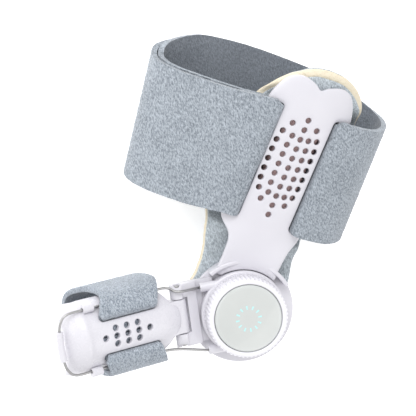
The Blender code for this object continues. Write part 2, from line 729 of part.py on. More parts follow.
# Dial: a cap in a knurled ring on the spool housing
def make_dial():
    cap_base = CAP_SEAT + GAP
    cap_profile = [(0.0, cap_base), (CAP_RADIUS, cap_base), (CAP_RADIUS, CAP_TOP - CAP_DOME - CAP_BEVEL),
                   (CAP_RADIUS - CAP_BEVEL, CAP_TOP - CAP_DOME),
                   (CAP_RADIUS * 0.6, CAP_TOP - CAP_DOME * 0.35), (0.0, CAP_TOP)]
    new_object("dial_cap", turned_mesh("dial_cap", cap_profile, 40), arm_frame,
               material("cap", CAP_GREY, 0.12))
    bm = bmesh.new()
    ring_top = CAP_TOP - RING_LIP
    levels = ((RING_BASE, RING_RADIUS), (ring_top - RING_BEVEL, RING_RADIUS),
              (ring_top, RING_RADIUS - RING_BEVEL))
    rings = []
    for height, radius in levels:
        ring = []
        for k in range(2 * KNURLS):
            angle = math.tau * k / (2 * KNURLS)
            reach = radius - (KNURL_DEPTH if k % 2 else 0.0)
            ring.append(bm.verts.new((reach * math.cos(angle), reach * math.sin(angle), height)))
        rings.append(ring)
    count = 2 * KNURLS
    for low, high in zip(rings, rings[1:]):
        for k in range(count):
            bm.faces.new((low[k], low[(k + 1) % count], high[(k + 1) % count], high[k]))
    bm.faces.new(rings[0])
    bm.faces.new(rings[-1])
    ring = new_object("dial_ring", mesh_from(bm, "dial_ring"), arm_frame,
                      material("dial_white", WHITE_PLASTIC, 0.3))
    well_outline = circle_outline(0, 0, CAP_RADIUS + GAP, 48)
    well = new_object("dial_well", prism_mesh("dial_well", [well_outline], CAP_SEAT, CUT_REACH), arm_frame,
                      cutter=True)
    boolean(ring, well, "DIFFERENCE")
    bore = new_object("dial_bore", prism_mesh("dial_bore", [circle_outline(0, 0, SPINDLE_RADIUS + GAP, 20)],
                                              -CUT_REACH, CUT_REACH), arm_frame, cutter=True)
    boolean(ring, bore, "DIFFERENCE")


def make_housing():
    top = HOUSING_BASE + HOUSING_HEIGHT
    profile = [(0.0, HOUSING_BASE), (HOUSING_RADIUS, HOUSING_BASE), (HOUSING_RADIUS, top - HOUSING_BEVEL),
               (HOUSING_RADIUS - HOUSING_BEVEL, top), (SPINDLE_RADIUS, top), (SPINDLE_RADIUS, CAP_SEAT - GAP),
               (0.0, CAP_SEAT - GAP)]
    housing = new_object("spool_housing", turned_mesh("spool_housing", profile, 40), arm_frame,
                         material("housing_white", WHITE_PLASTIC, 0.3))
    middle = HOUSING_BASE + HOUSING_HEIGHT / 2.0
    for side, name in ((-1.0, "upper"), (1.0, "lower")):
        along = (Vector((NOSE_ALONG - NOSE_ROOT, side * NOSE_ACROSS, middle)),
                 Vector((NOSE_ALONG + NOSE_LENGTH, side * NOSE_ACROSS, middle)))
        nose = new_object("nose_" + name, wire_mesh("nose_" + name, along, NOSE_RADIUS), arm_frame,
                          cutter=True)
        route = lace_route() if side > 0.0 else lace_route()[::-1]
        deeper = route[0] + (route[0] - route[1]).normalized() * LACE_RADIUS * 2.0
        boolean(housing, nose, "UNION")
        boolean(housing, lace_bore("nose_bore_" + name, [deeper] + route[:6]), "DIFFERENCE")


# Toe arm: the ring under the housing, a rising fork and its bores for the pin
def side_prism(name, outline, half_width, parent):
    """An outline of along and height pairs, extruded across."""
    mesh = prism_mesh(name, [outline], -half_width, half_width)
    mesh.transform(Matrix.Rotation(math.radians(90.0), 4, "X"))
    return new_object(name, mesh, parent, cutter=True)


def cross_cylinder(name, along, height, parent):
    """The bore for the pin, right through the fork or the tongue."""
    outline = circle_outline(along, height, PIN_RADIUS + GAP, 12)
    mesh = prism_mesh(name, [outline], -FORK_WIDTH, FORK_WIDTH)
    mesh.transform(Matrix.Rotation(math.radians(90.0), 4, "X"))
    return new_object(name, mesh, parent, cutter=True)


def make_toe_arm():
    top = ARM_RING_BASE + ARM_WALL
    mesh = prism_mesh("toe_arm", [circle_outline(0, 0, ARM_RING_RADIUS, 48)], ARM_RING_BASE, top)
    arm = new_object("toe_arm", mesh, arm_frame, material("arm_white", WHITE_PLASTIC, 0.3))
    knuckle = arc((PIN_REACH, PIN_HEIGHT), KNUCKLE_RADIUS, 118.0, -75.0, 13)
    rise = PIN_HEIGHT - top
    foot, start = FORK_FOOT_START, HOUSING_RADIUS + GAP
    run = PIN_REACH - start
    fork_side = [Vector((foot, ARM_RING_BASE)), Vector((foot, top))]
    fork_side += [Vector((start + run * along, top + rise * up)) for along, up in FORK_TABLE]
    fork_side += knuckle + [Vector((foot + FORK_FOOT_RUN, ARM_RING_BASE + GAP))]
    fork = side_prism("fork_side", fork_side, FORK_WIDTH / 2.0, fork_frame)
    half, high = FORK_WIDTH / 2.0, PIN_HEIGHT + KNUCKLE_RADIUS
    right = [(half, 0.0)] + [(half - FORK_SHOULDER * inward, high - FORK_SHOULDER * down)
                             for inward, down in CROWN_TABLE]
    crown = [Vector(place) for place in right] + [Vector((-x, y)) for x, y in right[::-1]]
    crown_mesh = prism_mesh("fork_crown", [crown], 0.0, CUT_REACH)
    crown_mesh.transform(Matrix.Rotation(math.radians(90.0), 4, "X"))
    crown_mesh.transform(Matrix.Rotation(math.radians(90.0), 4, "Z"))
    boolean(fork, new_object("fork_crown", crown_mesh, fork_frame, cutter=True), "INTERSECT")
    boolean(arm, fork, "UNION")
    mouth_start = PIN_REACH - KNUCKLE_RADIUS - MOUTH_CLEARANCE
    half_mouth = TONGUE_WIDTH / 2.0 + TONGUE_GAP
    mouth = [Vector(place) for place in ((mouth_start, -half_mouth), (CUT_REACH, -half_mouth),
                                         (CUT_REACH, half_mouth), (mouth_start, half_mouth))]
    boolean(arm, new_object("fork_mouth", prism_mesh("fork_mouth", [mouth], 0.0, CUT_REACH), fork_frame,
                            cutter=True), "DIFFERENCE")
    boolean(arm, cross_cylinder("fork_bore", PIN_REACH, PIN_HEIGHT, fork_frame), "DIFFERENCE")
    pin_mesh = prism_mesh("hinge_pin", [circle_outline(PIN_REACH, PIN_HEIGHT, PIN_RADIUS, 12)],
                          -FORK_WIDTH / 2.0 + PIN_INSET, FORK_WIDTH / 2.0 - PIN_INSET)
    pin_mesh.transform(Matrix.Rotation(math.radians(90.0), 4, "X"))
    new_object("hinge_pin", pin_mesh, fork_frame, material("pin_steel", STEEL, 0.3, 1.0))


# Toe cuff: a crowned sheet with a rolled tip, slots, vents and the tongue that takes the pin
def cuff_face(along, across):
    side = min(abs(across), CUFF_RADIUS * 0.985)
    drop = CUFF_RADIUS - math.sqrt(CUFF_RADIUS ** 2 - side ** 2)
    tip = max(0.0, along - (CUFF_END - CUFF_TIP_ROLL_LENGTH)) / CUFF_TIP_ROLL_LENGTH
    heel = max(0.0, CUFF_START + CUFF_HEEL_LENGTH - along) / CUFF_HEEL_LENGTH
    roll = CUFF_TIP_ROLL * (CUFF_TIP_CREASE * tip + (1.0 - CUFF_TIP_CREASE) * tip ** 2)
    return CUFF_CROWN - drop - roll - CUFF_HEEL_DROP * heel ** 2


def cuff_outline():
    upper = []
    for wide, neck, corner in CUFF_TABLE:
        along = CUFF_END - CUFF_CORNER * corner if neck is None else CUFF_START + CUFF_NECK_LENGTH * neck
        upper.append(Vector((along, CUFF_HALF_WIDTH * wide)))
    lower = [Vector((p.x, -p.y)) for p in upper[::-1]]
    return smooth_path(upper + [Vector((CUFF_END + CUFF_TIP_BOW, 0.0))] + lower, 2, closed=True)


def cuff_shell(name, lift, wall, parent_look, cutter=False):
    """The cuff's sheet, lifted off its true face; a low wall is used to clear what sits on it."""
    alongs = spread(CUFF_START - CUFF_MARGIN, CUFF_END + CUFF_MARGIN, 13)
    acrosses = [CUFF_HALF_WIDTH * 1.012 * math.sin(math.radians(a)) for a in spread(-90.0, 90.0, 11)]
    mesh = shell_mesh(name, lambda x, y: cuff_face(x, y) + lift, alongs, acrosses, wall)
    return new_object(name, mesh, cuff_frame, parent_look, cutter)


def make_toe_cuff():
    cuff = cuff_shell("toe_cuff", 0.0, CUFF_WALL, material("cuff_white", WHITE_PLASTIC, 0.25))
    loops = [cuff_outline()]
    slot_start = TOE_STRAP_START - TOE_SLOT_CLEARANCE
    slot_end = TOE_STRAP_END + TOE_SLOT_CLEARANCE
    vent_middle = (TOE_STRAP_START + TOE_STRAP_END) / 2.0 + CUFF_VENT_SHIFT
    for side in (-1.0, 1.0):
        inner, outer = side * CUFF_SLOT_INNER, side * (CUFF_SLOT_INNER + CUFF_SLOT_WIDTH)
        upright = slot_outline(min(inner, outer), max(inner, outer), slot_start, slot_end, 1)
        loops.append([Vector((p.y, p.x)) for p in upright])
    for row in (-1, 0, 1):
        count = 5 if row == 0 else 3
        for k in range(count):
            loops.append(circle_outline(vent_middle + (k - (count - 1) / 2.0) * CUFF_VENT_ALONG,
                                        row * CUFF_VENT_ACROSS, CUFF_VENT_RADIUS, VENT_SIDES))
    outline = new_object("cuff_outline", prism_mesh("cuff_outline", loops, -CUT_REACH, CUT_REACH), cuff_frame,
                         cutter=True)
    boolean(cuff, outline, "INTERSECT")
    half = TONGUE_WIDTH / 2.0
    tongue_radius = KNUCKLE_RADIUS - TONGUE_GAP
    tongue_side = arc((0.0, 0.0), tongue_radius, 90.0, 270.0, 11)
    under_shell = CUFF_CROWN - CUFF_WALL
    root_top = under_shell + UNION_LAP * 2.0
    tongue_side += [Vector((TONGUE_LENGTH * 0.54, -tongue_radius)),
                    Vector((TONGUE_LENGTH, root_top - TONGUE_ROOT_WALL)),
                    Vector((TONGUE_LENGTH, root_top)),
                    Vector((CUFF_START, tongue_radius - TONGUE_GAP))]
    tongue = side_prism("tongue_side", tongue_side, half, cuff_frame)
    boolean(cuff, tongue, "UNION")
    boolean(cuff, cross_cylinder("tongue_bore", 0.0, 0.0, cuff_frame), "DIFFERENCE")


def on_shoulder(radius):
    """Across and out-of-cuff place at the shoulder angle, at a radius about the cuff's own axis."""
    angle = math.radians(SHOULDER_DEG)
    return radius * math.sin(angle), CUFF_CROWN - CUFF_RADIUS + radius * math.cos(angle)


# Toe strap: a plush loop that comes out of both slots, over the cuff's sides and round underneath
def toe_strap_section(along):
    wall = TOE_STRAP_WALL
    slot = CUFF_SLOT_INNER + CUFF_SLOT_WIDTH / 2.0
    clear = LACE_RADIUS * 2.0 + LACE_SIDE_CLEARANCE * 2.0 + wall / 2.0
    face = cuff_face(along, slot)
    over = face + wall / 2.0 + GAP
    shoulder = on_shoulder(CUFF_RADIUS + clear)
    tilt = math.radians(CUFF_TILT_DEG)
    floor = (-PIN_HEIGHT - along * math.sin(tilt) + wall / 2.0) / math.cos(tilt)
    bottom = max(-TOE_LOOP_DEPTH + wall / 2.0, floor)
    wide = TOE_LOOP_HALF_WIDTH
    lean = -TOE_STRAP_LEAN
    # The band's ends lie under the cuff and nearly meet in the middle
    clearance, inner = wall / 2.0 + GAP, CUFF_SLOT_INNER
    under = [cuff_face(along, across) - CUFF_WALL for across in (0.0, inner / 2.0, inner)]
    half = [
        Vector((TOE_TAIL_SPACE / 2.0, under[0] - clearance * 1.1, 0.0)),
        Vector((inner / 2.0, under[1] - clearance * 1.1, 0.0)),
        Vector((inner, under[2] - clearance * 1.05, 0.0)),
        Vector((inner + clearance * 0.75, under[2] - clearance * 0.75, 0.0)),
        Vector((slot, under[2], 0.0)),
        Vector((slot, over - STRAP_FOLD_RADIUS, 0.0)),
        Vector((slot + STRAP_FOLD_RADIUS * 0.4, over - STRAP_FOLD_RADIUS * 0.3, 0.0)),
        Vector((slot + STRAP_FOLD_RADIUS * 1.4, over, 0.0)),
        Vector((*shoulder, lean * 0.5)),
        Vector((wide, shoulder[1] - wall * 2.1, lean)),
        Vector((wide * 1.044, bottom * 0.36, lean)),
        Vector((wide * 1.011, bottom * 0.62, lean * 0.6)),
        Vector((wide * 0.86, bottom * 0.87, lean * 0.2)),
        Vector((wide * 0.55, bottom * 0.985, 0.0)),
        Vector((0.0, bottom, 0.0)),
    ]
    right = smooth_path(half, 2)
    left = [Vector((-p.x, p.y, p.z)) for p in reversed(right[:-1])]
    return [Vector((p.x, max(p.y, bottom), p.z)) for p in right + left]


def make_toe_strap():
    rows = []
    for station in range(TOE_STRAP_STATIONS):
        along = TOE_STRAP_START + (TOE_STRAP_END - TOE_STRAP_START) * station / (TOE_STRAP_STATIONS - 1)
        rows.append([Vector((along + p.z, p.x, p.y)) for p in toe_strap_section(along)])
    strap = new_object("toe_strap", loft_mesh("toe_strap", rows), cuff_frame,
                       material("toe_plush", GREY_PLUSH, 0.95))
    thicken(strap, TOE_STRAP_WALL, 0.0)


# Lace: out of one nose, along the cuff's side, through a guide, round the tip, and back the same way
def lace_half(side_sign):
    """The lace's points on one side, in the cuff's frame, from the nose to the middle of the tip."""
    tilt = Matrix.Rotation(math.radians(CUFF_TILT_DEG), 4, "Y")
    middle = HOUSING_BASE + HOUSING_HEIGHT / 2.0
    nose_end = NOSE_ALONG + NOSE_LENGTH - PIN_REACH
    nose_across = NOSE_ACROSS - side_sign * ARM_OFFSET
    nose = [tilt @ Vector((nose_end + LACE_IN_NOSE * share, nose_across, middle - PIN_HEIGHT))
            for share in (-1.0, -0.33, 0.33)]
    side, run = on_shoulder(CUFF_RADIUS + LACE_RADIUS + LACE_SIDE_CLEARANCE)
    in_guide = on_shoulder(CUFF_RADIUS + LACE_RADIUS + LACE_SIDE_CLEARANCE * 1.5)
    guide = guide_place()
    over_prong = KNUCKLE_RADIUS + LACE_RADIUS + LACE_SIDE_CLEARANCE
    prong = [tilt @ Vector((PRONG_ALONG * share, PRONG_ACROSS + LACE_CLEARANCE * share, over_prong))
             for share in (-1.0, 0.7)]
    clear = LACE_TIP_CLEARANCE
    round_tip = [Vector((CUFF_END + clear * along, guide.y - clear * inward, guide.z - clear * down))
                 for along, inward, down in LACE_TIP_TABLE]
    return nose + (prong if side_sign < 0.0 else []) + [
        Vector((CUFF_START + CUFF_NECK_LENGTH / 3.0, side + LACE_SIDE_CLEARANCE, run - LACE_SIDE_CLEARANCE)),
        Vector(((TOE_STRAP_START + TOE_STRAP_END) / 2.0, side, run)),
        Vector((TOE_STRAP_END - TOE_STRAP_TO_GUIDE, side, run)),
        Vector((GUIDE_ALONG - GUIDE_LENGTH / 2.0, *in_guide)),
        Vector((GUIDE_ALONG + GUIDE_LENGTH / 2.0, *in_guide)),
        *round_tip,
        Vector((CUFF_END + clear * 0.9, SLEEVE_LENGTH / 2.0, guide.z - clear * 0.4)),
        Vector((CUFF_END + clear, 0.0, guide.z - clear * 0.45)),
    ]


def guide_place():
    across, out = on_shoulder(CUFF_RADIUS + GUIDE_RADIUS - GUIDE_SINK)
    return Vector((GUIDE_ALONG, across, out))


def lace_route():
    near = lace_half(1.0)
    far = [Vector((p.x, -p.y, p.z)) for p in reversed(lace_half(-1.0)[:-1])]
    return smooth_path(near + far, 2)


def lace_bore(name, points):
    """A cutter along a stretch of the lace's own route."""
    return new_object(name, wire_mesh(name, points, LACE_RADIUS + LACE_CLEARANCE), cuff_frame, cutter=True)


def make_lace():
    route = lace_route()
    new_object("lace", wire_mesh("lace", route, LACE_RADIUS), cuff_frame,
               material("steel_lace", STEEL, 0.35, 1.0))
    # The sleeve follows the same curve round the tip
    inside = [k for k, p in enumerate(route)
              if abs(p.y) <= SLEEVE_LENGTH / 2.0 + GAP and p.x > CUFF_END]
    sleeve_path = route[inside[0]:inside[-1] + 1]
    sleeve = new_object("lace_sleeve", wire_mesh("lace_sleeve", sleeve_path, SLEEVE_RADIUS), cuff_frame,
                        material("sleeve_white", WHITE_PLASTIC, 0.35))
    boolean(sleeve, lace_bore("sleeve_bore", route[inside[0] - 1:inside[-1] + 2]), "DIFFERENCE")


def make_guide(name, side):
    place = guide_place()
    y = side * place.y
    half = GUIDE_LENGTH / 2.0
    line = (Vector((GUIDE_ALONG - half, y, place.z)), Vector((GUIDE_ALONG + half, y, place.z)))
    guide = new_object(name, wire_mesh(name, line, GUIDE_RADIUS, 3), cuff_frame,
                       material(name + "_white", WHITE_PLASTIC, 0.3))
    passing = [p for p in lace_route() if abs(p.x - GUIDE_ALONG) < half * 2.74 and p.y * side > 0.0]
    boolean(guide, lace_bore(name + "_bore", passing), "DIFFERENCE")
    # The guide's foot is cut to lie on the cuff's shoulder
    lift = GAP / math.cos(math.radians(SHOULDER_DEG))
    boolean(guide, cuff_shell(name + "_room", lift, CUFF_RADIUS, None, cutter=True), "DIFFERENCE")


# Build every piece
make_foot_plate()
make_pad()
make_foot_strap()
make_dial()
make_housing()
make_toe_arm()
make_toe_cuff()
make_toe_strap()
make_lace()
make_guide("lace_guide_upper", -1.0)
make_guide("lace_guide_lower", 1.0)
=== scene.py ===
# %% [markdown]
# # Bunion corrector
# The brace has a white vented plate on a soft pad, a wide plush strap, a knurled lacing dial and a small
# toe cuff on a hinged arm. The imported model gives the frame; this lesson dresses it piece by piece.

# %% Load the frame
import math

import bmesh
import bpy
from mathutils import Matrix, Vector, noise
from mathutils.geometry import delaunay_2d_cdt


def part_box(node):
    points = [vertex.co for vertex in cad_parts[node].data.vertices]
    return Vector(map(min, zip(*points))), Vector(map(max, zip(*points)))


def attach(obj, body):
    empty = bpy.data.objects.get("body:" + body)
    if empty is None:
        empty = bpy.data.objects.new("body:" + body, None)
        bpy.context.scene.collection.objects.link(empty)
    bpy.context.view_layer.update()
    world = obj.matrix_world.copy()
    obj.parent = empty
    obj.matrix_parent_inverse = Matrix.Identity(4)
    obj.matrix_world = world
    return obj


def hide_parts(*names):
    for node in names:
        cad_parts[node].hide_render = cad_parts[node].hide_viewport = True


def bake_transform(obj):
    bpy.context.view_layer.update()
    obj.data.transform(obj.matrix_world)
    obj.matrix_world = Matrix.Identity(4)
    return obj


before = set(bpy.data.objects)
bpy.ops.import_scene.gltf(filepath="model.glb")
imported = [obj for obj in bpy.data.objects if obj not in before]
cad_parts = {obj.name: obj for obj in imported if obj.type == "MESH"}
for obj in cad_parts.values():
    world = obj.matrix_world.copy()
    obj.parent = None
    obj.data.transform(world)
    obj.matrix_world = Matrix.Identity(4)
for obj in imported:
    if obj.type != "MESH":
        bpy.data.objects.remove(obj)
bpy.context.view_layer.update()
scene = bpy.context.scene

# %% [markdown]
# Everything is measured from the dial's axis, so the first step reads that axis from the model. The plate's
# middle line runs 5.5 mm beside it. The toe cuff has a frame of its own: along the toe, across it and out of
# it, raised by the tilt at its hinge pin.

# %% Places to measure from
cap_low, cap_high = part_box("dial_cap")
DIAL = Vector(((cap_low[0] + cap_high[0]) / 2, (cap_low[1] + cap_high[1]) / 2, 0))
TOP = cap_high[2]
PLATE_X = -0.0055
ARM_TURN, CUFF_TILT = math.radians(207.7), math.radians(22)
ARM_OFFSET, PIN_REACH, PIN_HEIGHT = -0.0034, 0.027, 0.0262
brace_place = Matrix.Translation(DIAL)
arm_place = brace_place @ Matrix.Rotation(ARM_TURN, 4, "Z")
fork_place = arm_place @ Matrix.Translation((0, ARM_OFFSET, 0))
cuff_place = (arm_place @ Matrix.Translation((PIN_REACH, ARM_OFFSET, PIN_HEIGHT))
              @ Matrix.Rotation(-CUFF_TILT, 4, "Y"))
print("dial axis", DIAL, "pin", cuff_place.translation)

# %% [markdown]
# Heights up through the dial: each layer lies on the one below it with a gap of 0.3 mm.

# %% Levels of the dial's stack
GAP = 0.0003
CAP_HEIGHT, RING_HEIGHT, RING_LIP, HOUSING_HEIGHT, ARM_WALL = 0.004, 0.0115, 0.0004, 0.0042, 0.0024
RING_BASE = TOP - RING_LIP - RING_HEIGHT
HOUSING_BASE = RING_BASE - GAP - HOUSING_HEIGHT
ARM_BASE = HOUSING_BASE - GAP - ARM_WALL
HUB_TOP = ARM_BASE - GAP
print("levels in mm", [round(v * 1000, 1) for v in (HUB_TOP, ARM_BASE, HOUSING_BASE, RING_BASE, TOP)])

# %% [markdown]
# Small helpers come next. A smooth path runs through a few points, an arc gives points on a circle, and a
# finished mesh gets its modifiers applied so that its place and shape are fixed in the mesh.


# %% Paths
def smooth_path(points, per_span, closed=False):
    """A curve through all the points, with per_span points for each span."""
    count = len(points)
    result = []
    for span in range(count if closed else count - 1):
        picks = [(span + k) % count if closed else min(max(span + k, 0), count - 1) for k in (-1, 0, 1, 2)]
        before, start, end, after = (points[k] for k in picks)
        for step in range(per_span):
            t = step / per_span
            shares = (-0.5 * t + t * t - 0.5 * t ** 3, 1 - 2.5 * t * t + 1.5 * t ** 3,
                      0.5 * t + 2 * t * t - 1.5 * t ** 3, -0.5 * t * t + 0.5 * t ** 3)
            result.append(start * shares[1] + end * shares[2] + before * shares[0] + after * shares[3])
    return result if closed else result + [points[-1].copy()]


def even_path(points, step):
    """The same path with points a fixed step apart."""
    lengths = [0.0]
    for a, b in zip(points, points[1:]):
        lengths.append(lengths[-1] + (b - a).length)
    count = max(2, round(lengths[-1] / step))
    result, k = [], 0
    for i in range(count + 1):
        want = lengths[-1] * i / count
        while k < len(points) - 2 and lengths[k + 1] < want:
            k += 1
        share = (want - lengths[k]) / max(lengths[k + 1] - lengths[k], 1e-9)
        result.append(points[k].lerp(points[k + 1], min(1.0, share)))
    return result


def arc(centre, radius, start, end, count):
    turns = [math.radians(start + (end - start) * k / (count - 1)) for k in range(count)]
    return [Vector((centre[0] + radius * math.cos(a), centre[1] + radius * math.sin(a))) for a in turns]


def circle(x, y, radius, sides=20):
    return arc((x, y), radius, 0, 360 - 360 / sides, sides)


def slot(x0, x1, y0, y1):
    r, m = (x1 - x0) / 2, (x0 + x1) / 2
    straight = [Vector((x1, y0 + r + (y1 - y0 - 2 * r) * k / 24)) for k in range(1, 24)]
    back = [Vector((x0, p.y)) for p in reversed(straight)]
    return straight + arc((m, y1 - r), r, 0, 180, 9) + back + arc((m, y0 + r), r, 180, 360, 9)


def soft_step(share):
    share = min(1.0, max(0.0, share))
    return share * share * (3 - 2 * share)


# %% Pieces
def bake(piece, place=None, smooth=40):
    """Applies what shapes the piece, sets its place and shades it smooth but for its sharp edges."""
    scene.collection.objects.link(piece)
    bpy.context.view_layer.update()
    mesh = bpy.data.meshes.new_from_object(piece.evaluated_get(bpy.context.evaluated_depsgraph_get()))
    piece.modifiers.clear()
    old, piece.data = piece.data, mesh
    bpy.data.meshes.remove(old)
    if place is not None:
        mesh.transform(place)
    mesh.shade_smooth()
    mesh.set_sharp_from_angle(angle=math.radians(smooth))
    mesh.name = piece.name
    return piece


def from_bmesh(bm, name):
    bmesh.ops.recalc_face_normals(bm, faces=bm.faces[:])
    mesh = bpy.data.meshes.new(name)
    bm.to_mesh(mesh)
    bm.free()
    return bpy.data.objects.new(name, mesh)


def keep(piece, look, body, material_slot, *nodes):
    """Dresses a finished piece, makes it ride on its body and stand for its plain solids."""
    piece.data.materials.clear()
    piece.data.materials.append(look)
    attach(piece, body)
    if nodes:
        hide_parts(*nodes)
    spots = [vert.co for vert in piece.data.vertices]
    size = [max(p[k] for p in spots) - min(p[k] for p in spots) for k in range(3)]
    print(f"{piece.name}: {len(piece.data.polygons)} faces,", [round(s * 1000, 1) for s in size], "mm")
    return piece


# %% [markdown]
# ## Shader words
# A material is easier to read as a sum than as a nest of nodes. One class wraps a socket, so that an
# expression such as 0.3 + 0.2 * grain adds the Math nodes by itself.


# %% Shader maths
class Value:
    def __init__(self, look, socket):
        self.look, self.socket = look, socket

    def math(self, operation, first, second):
        return self.look.node("ShaderNodeMath", {"operation": operation}, {0: first, 1: second})

    def __add__(self, other):
        return self.math("ADD", self, other)

    __radd__ = __add__

    def __sub__(self, other):
        return self.math("SUBTRACT", self, other)

    def __rsub__(self, other):
        return self.math("SUBTRACT", other, self)

    def __mul__(self, other):
        return self.math("MULTIPLY", self, other)

    __rmul__ = __mul__

    def __lt__(self, other):
        return self.math("LESS_THAN", self, other)

    def __gt__(self, other):
        return self.math("GREATER_THAN", self, other)


class Look:
    """A material under construction: node() adds any node and returns one of its outputs."""

    def __init__(self, name, **constants):
        self.material = bpy.data.materials.new(name)
        self.material.use_nodes = True
        self.tree = self.material.node_tree
        self.shader = self.tree.nodes["Principled BSDF"]
        self.place = self.node("ShaderNodeTexCoord", output="Object")
        for key, value in constants.items():
            self.shader.inputs[key.replace("_", " ")].default_value = value

    def node(self, kind, settings=None, inputs=None, output=0):
        made = self.tree.nodes.new(kind)
        for key, value in (settings or {}).items():
            setattr(made, key, value)
        for key, value in (inputs or {}).items():
            if isinstance(value, Value):
                self.tree.links.new(value.socket, made.inputs[key])
            else:
                made.inputs[key].default_value = value
        return Value(self, made.outputs[output])

    def grain(self, scale, detail=2.0, rough=0.5, where=None):
        return self.node("ShaderNodeTexNoise", {}, {"Vector": where or self.place, "Scale": scale,
                                                    "Detail": detail, "Roughness": rough})

    def ramp(self, value, low, high):
        return self.node("ShaderNodeMapRange", {}, {0: value, 1: low, 2: high})

    def blend(self, factor, first, second):
        inputs = {0: factor, 6: first, 7: second}
        return self.node("ShaderNodeMix", {"data_type": "RGBA"}, inputs, output=2)

    def bump(self, height, strength, distance):
        inputs = {"Height": height, "Strength": strength, "Distance": distance}
        return self.node("ShaderNodeBump", {}, inputs)

    def root(self, value):
        return self.node("ShaderNodeMath", {"operation": "SQRT"}, {0: value})

    def done(self, **links):
        for key, value in links.items():
            self.tree.links.new(value.socket, self.shader.inputs[key.replace("_", " ")])
        return self.material


# %% [markdown]
# ## Moulded plastic
# The plate, cuff, arm and dial are injection-moulded, white with a cool cast and a soft gloss. Mouldings are
# never perfectly flat in colour: a faint cloudiness, a fine skin and slightly duller patches are enough.


# %% White plastic
DULL_WHITE, BRIGHT_WHITE = (0.665, 0.655, 0.705), (0.715, 0.705, 0.750)


def white_plastic(name, tone=0.0, rough=0.27):
    """White, darker by the tone; the roughness is that of its cleanest spots."""
    look = Look(name, Specular_IOR_Level=0.5, Coat_Weight=0.25, Coat_Roughness=0.12)
    cloud = look.grain(70, 3)
    skin = look.grain(2600, 2)
    scuff = look.ramp(look.grain(420, 4, 0.7), 0.5, 0.72)
    dull, bright = ([value - tone for value in rgb] + [1] for rgb in (DULL_WHITE, BRIGHT_WHITE))
    colour = look.blend(cloud, dull, bright)
    height = skin * 0.5 + cloud * 0.4
    return look.done(Base_Color=colour, Roughness=rough + 0.12 * scuff + 0.06 * cloud,
                     Normal=look.bump(height, 0.10, 0.00012))


plate_white = white_plastic("plate_white", 0.035)
cuff_white = white_plastic("cuff_white", 0.01, 0.24)
arm_white = white_plastic("arm_white", 0.015, 0.30)
# The dial's white is lighter than the other whites: painted light that lifts the ring's shaded side wall.
dial_white = white_plastic("dial_white", -0.12, 0.32)
print("white plastics", len(bpy.data.materials))

# %% [markdown]
# ## Plush
# The straps and the pad's faces are a brushed loop fabric: blue-grey, with light fibre tips over darker
# roots. Three sizes of noise give tufts, fibres and the slow change of shade that brushing leaves. A loop's
# inner side is painted darker, as painted shade; the small field of cloth that shows rose through the
# plate's vents is darker too.

# %% Grey plush
BRUSH_TURN = math.radians(-35)
# LOOP_SHADE is the painted shade on a loop's inner side.
LOOP_SHADE, VENT_ROSE = (0.105, 0.115, 0.135, 1), (0.60, 0.43, 0.41, 1)


def plush(name, dark, light, tuft=1350.0, seen_through=None):
    look = Look(name, Specular_IOR_Level=0.15, Sheen_Weight=0.25, Sheen_Roughness=0.5)
    brushed = look.grain(70, 2)
    tufts = look.grain(tuft, 3, 0.6)
    laid = look.node("ShaderNodeMapping", {}, {"Vector": look.place, "Rotation": (0.0, 0.0, BRUSH_TURN)})
    stretched = look.node("ShaderNodeMapping", {}, {"Vector": laid, "Scale": (1.0, 0.36, 0.8)})
    fibres = look.grain(tuft * 1.5, 3, 0.65, stretched)
    shade = look.ramp(tufts * 0.26 + fibres * 0.66 + brushed * 0.08, 0.40, 0.62)
    colour = look.blend(shade, dark, light)
    # The inner mark blends in LOOP_SHADE: painted shade on the loop's inner side.
    inner = look.node("ShaderNodeAttribute", {"attribute_name": "inner"}, output=2)
    colour = look.blend(inner * 0.62, colour, LOOP_SHADE)
    if seen_through:
        x, y = (look.node("ShaderNodeSeparateXYZ", {}, {0: look.place}, output=k) for k in (0, 1))
        low, high = seen_through
        within = (x > low[0]) * (x < high[0]) * (y > low[1]) * (y < high[1])
        colour = look.blend(within, colour, VENT_ROSE)
    return look.done(Base_Color=colour, Roughness=0.86 + 0.1 * brushed,
                     Normal=look.bump(tufts * 0.5 + fibres * 0.6, 0.75, 0.0008))


strap_plush = plush("strap_plush", (0.185, 0.210, 0.240, 1), (0.475, 0.520, 0.575, 1))
toe_plush = plush("toe_plush", (0.19, 0.22, 0.26, 1), (0.54, 0.59, 0.655, 1), 1450.0)
pad_colours = (0.30, 0.335, 0.365, 1), (0.62, 0.68, 0.72, 1)
pad_plush = plush("pad_plush", *pad_colours, 1400.0)
vent_field = [(DIAL.x + PLATE_X + across, DIAL.y + along)
              for across, along in ((-0.0105, 0.036), (0.0105, 0.092))]
lining_plush = plush("lining_plush", *pad_colours, 1400.0, vent_field)
print("plush fabrics made")

# %% [markdown]
# ## Foam, disc and steel
# The pad's cut edge is a cream foam with fine open cells. The disc in the dial is glossy grey-green with a
# plain ring of ticks. The lace is bright twisted steel.

# %% Cream foam
foam = Look("cream_foam", Specular_IOR_Level=0.25)
cells = foam.node("ShaderNodeTexVoronoi", {"feature": "F1"}, {"Vector": foam.place, "Scale": 1700.0})
pores = foam.ramp(cells, 0.15, 0.55)
yellowing = foam.grain(90, 2)
foam_look = foam.done(
    Base_Color=foam.blend(pores * 0.45 + yellowing * 0.4, (0.76, 0.67, 0.50, 1), (0.82, 0.75, 0.61, 1)),
    Roughness=0.80 + 0.15 * pores, Normal=foam.bump(1 - pores, 0.5, 0.0003))


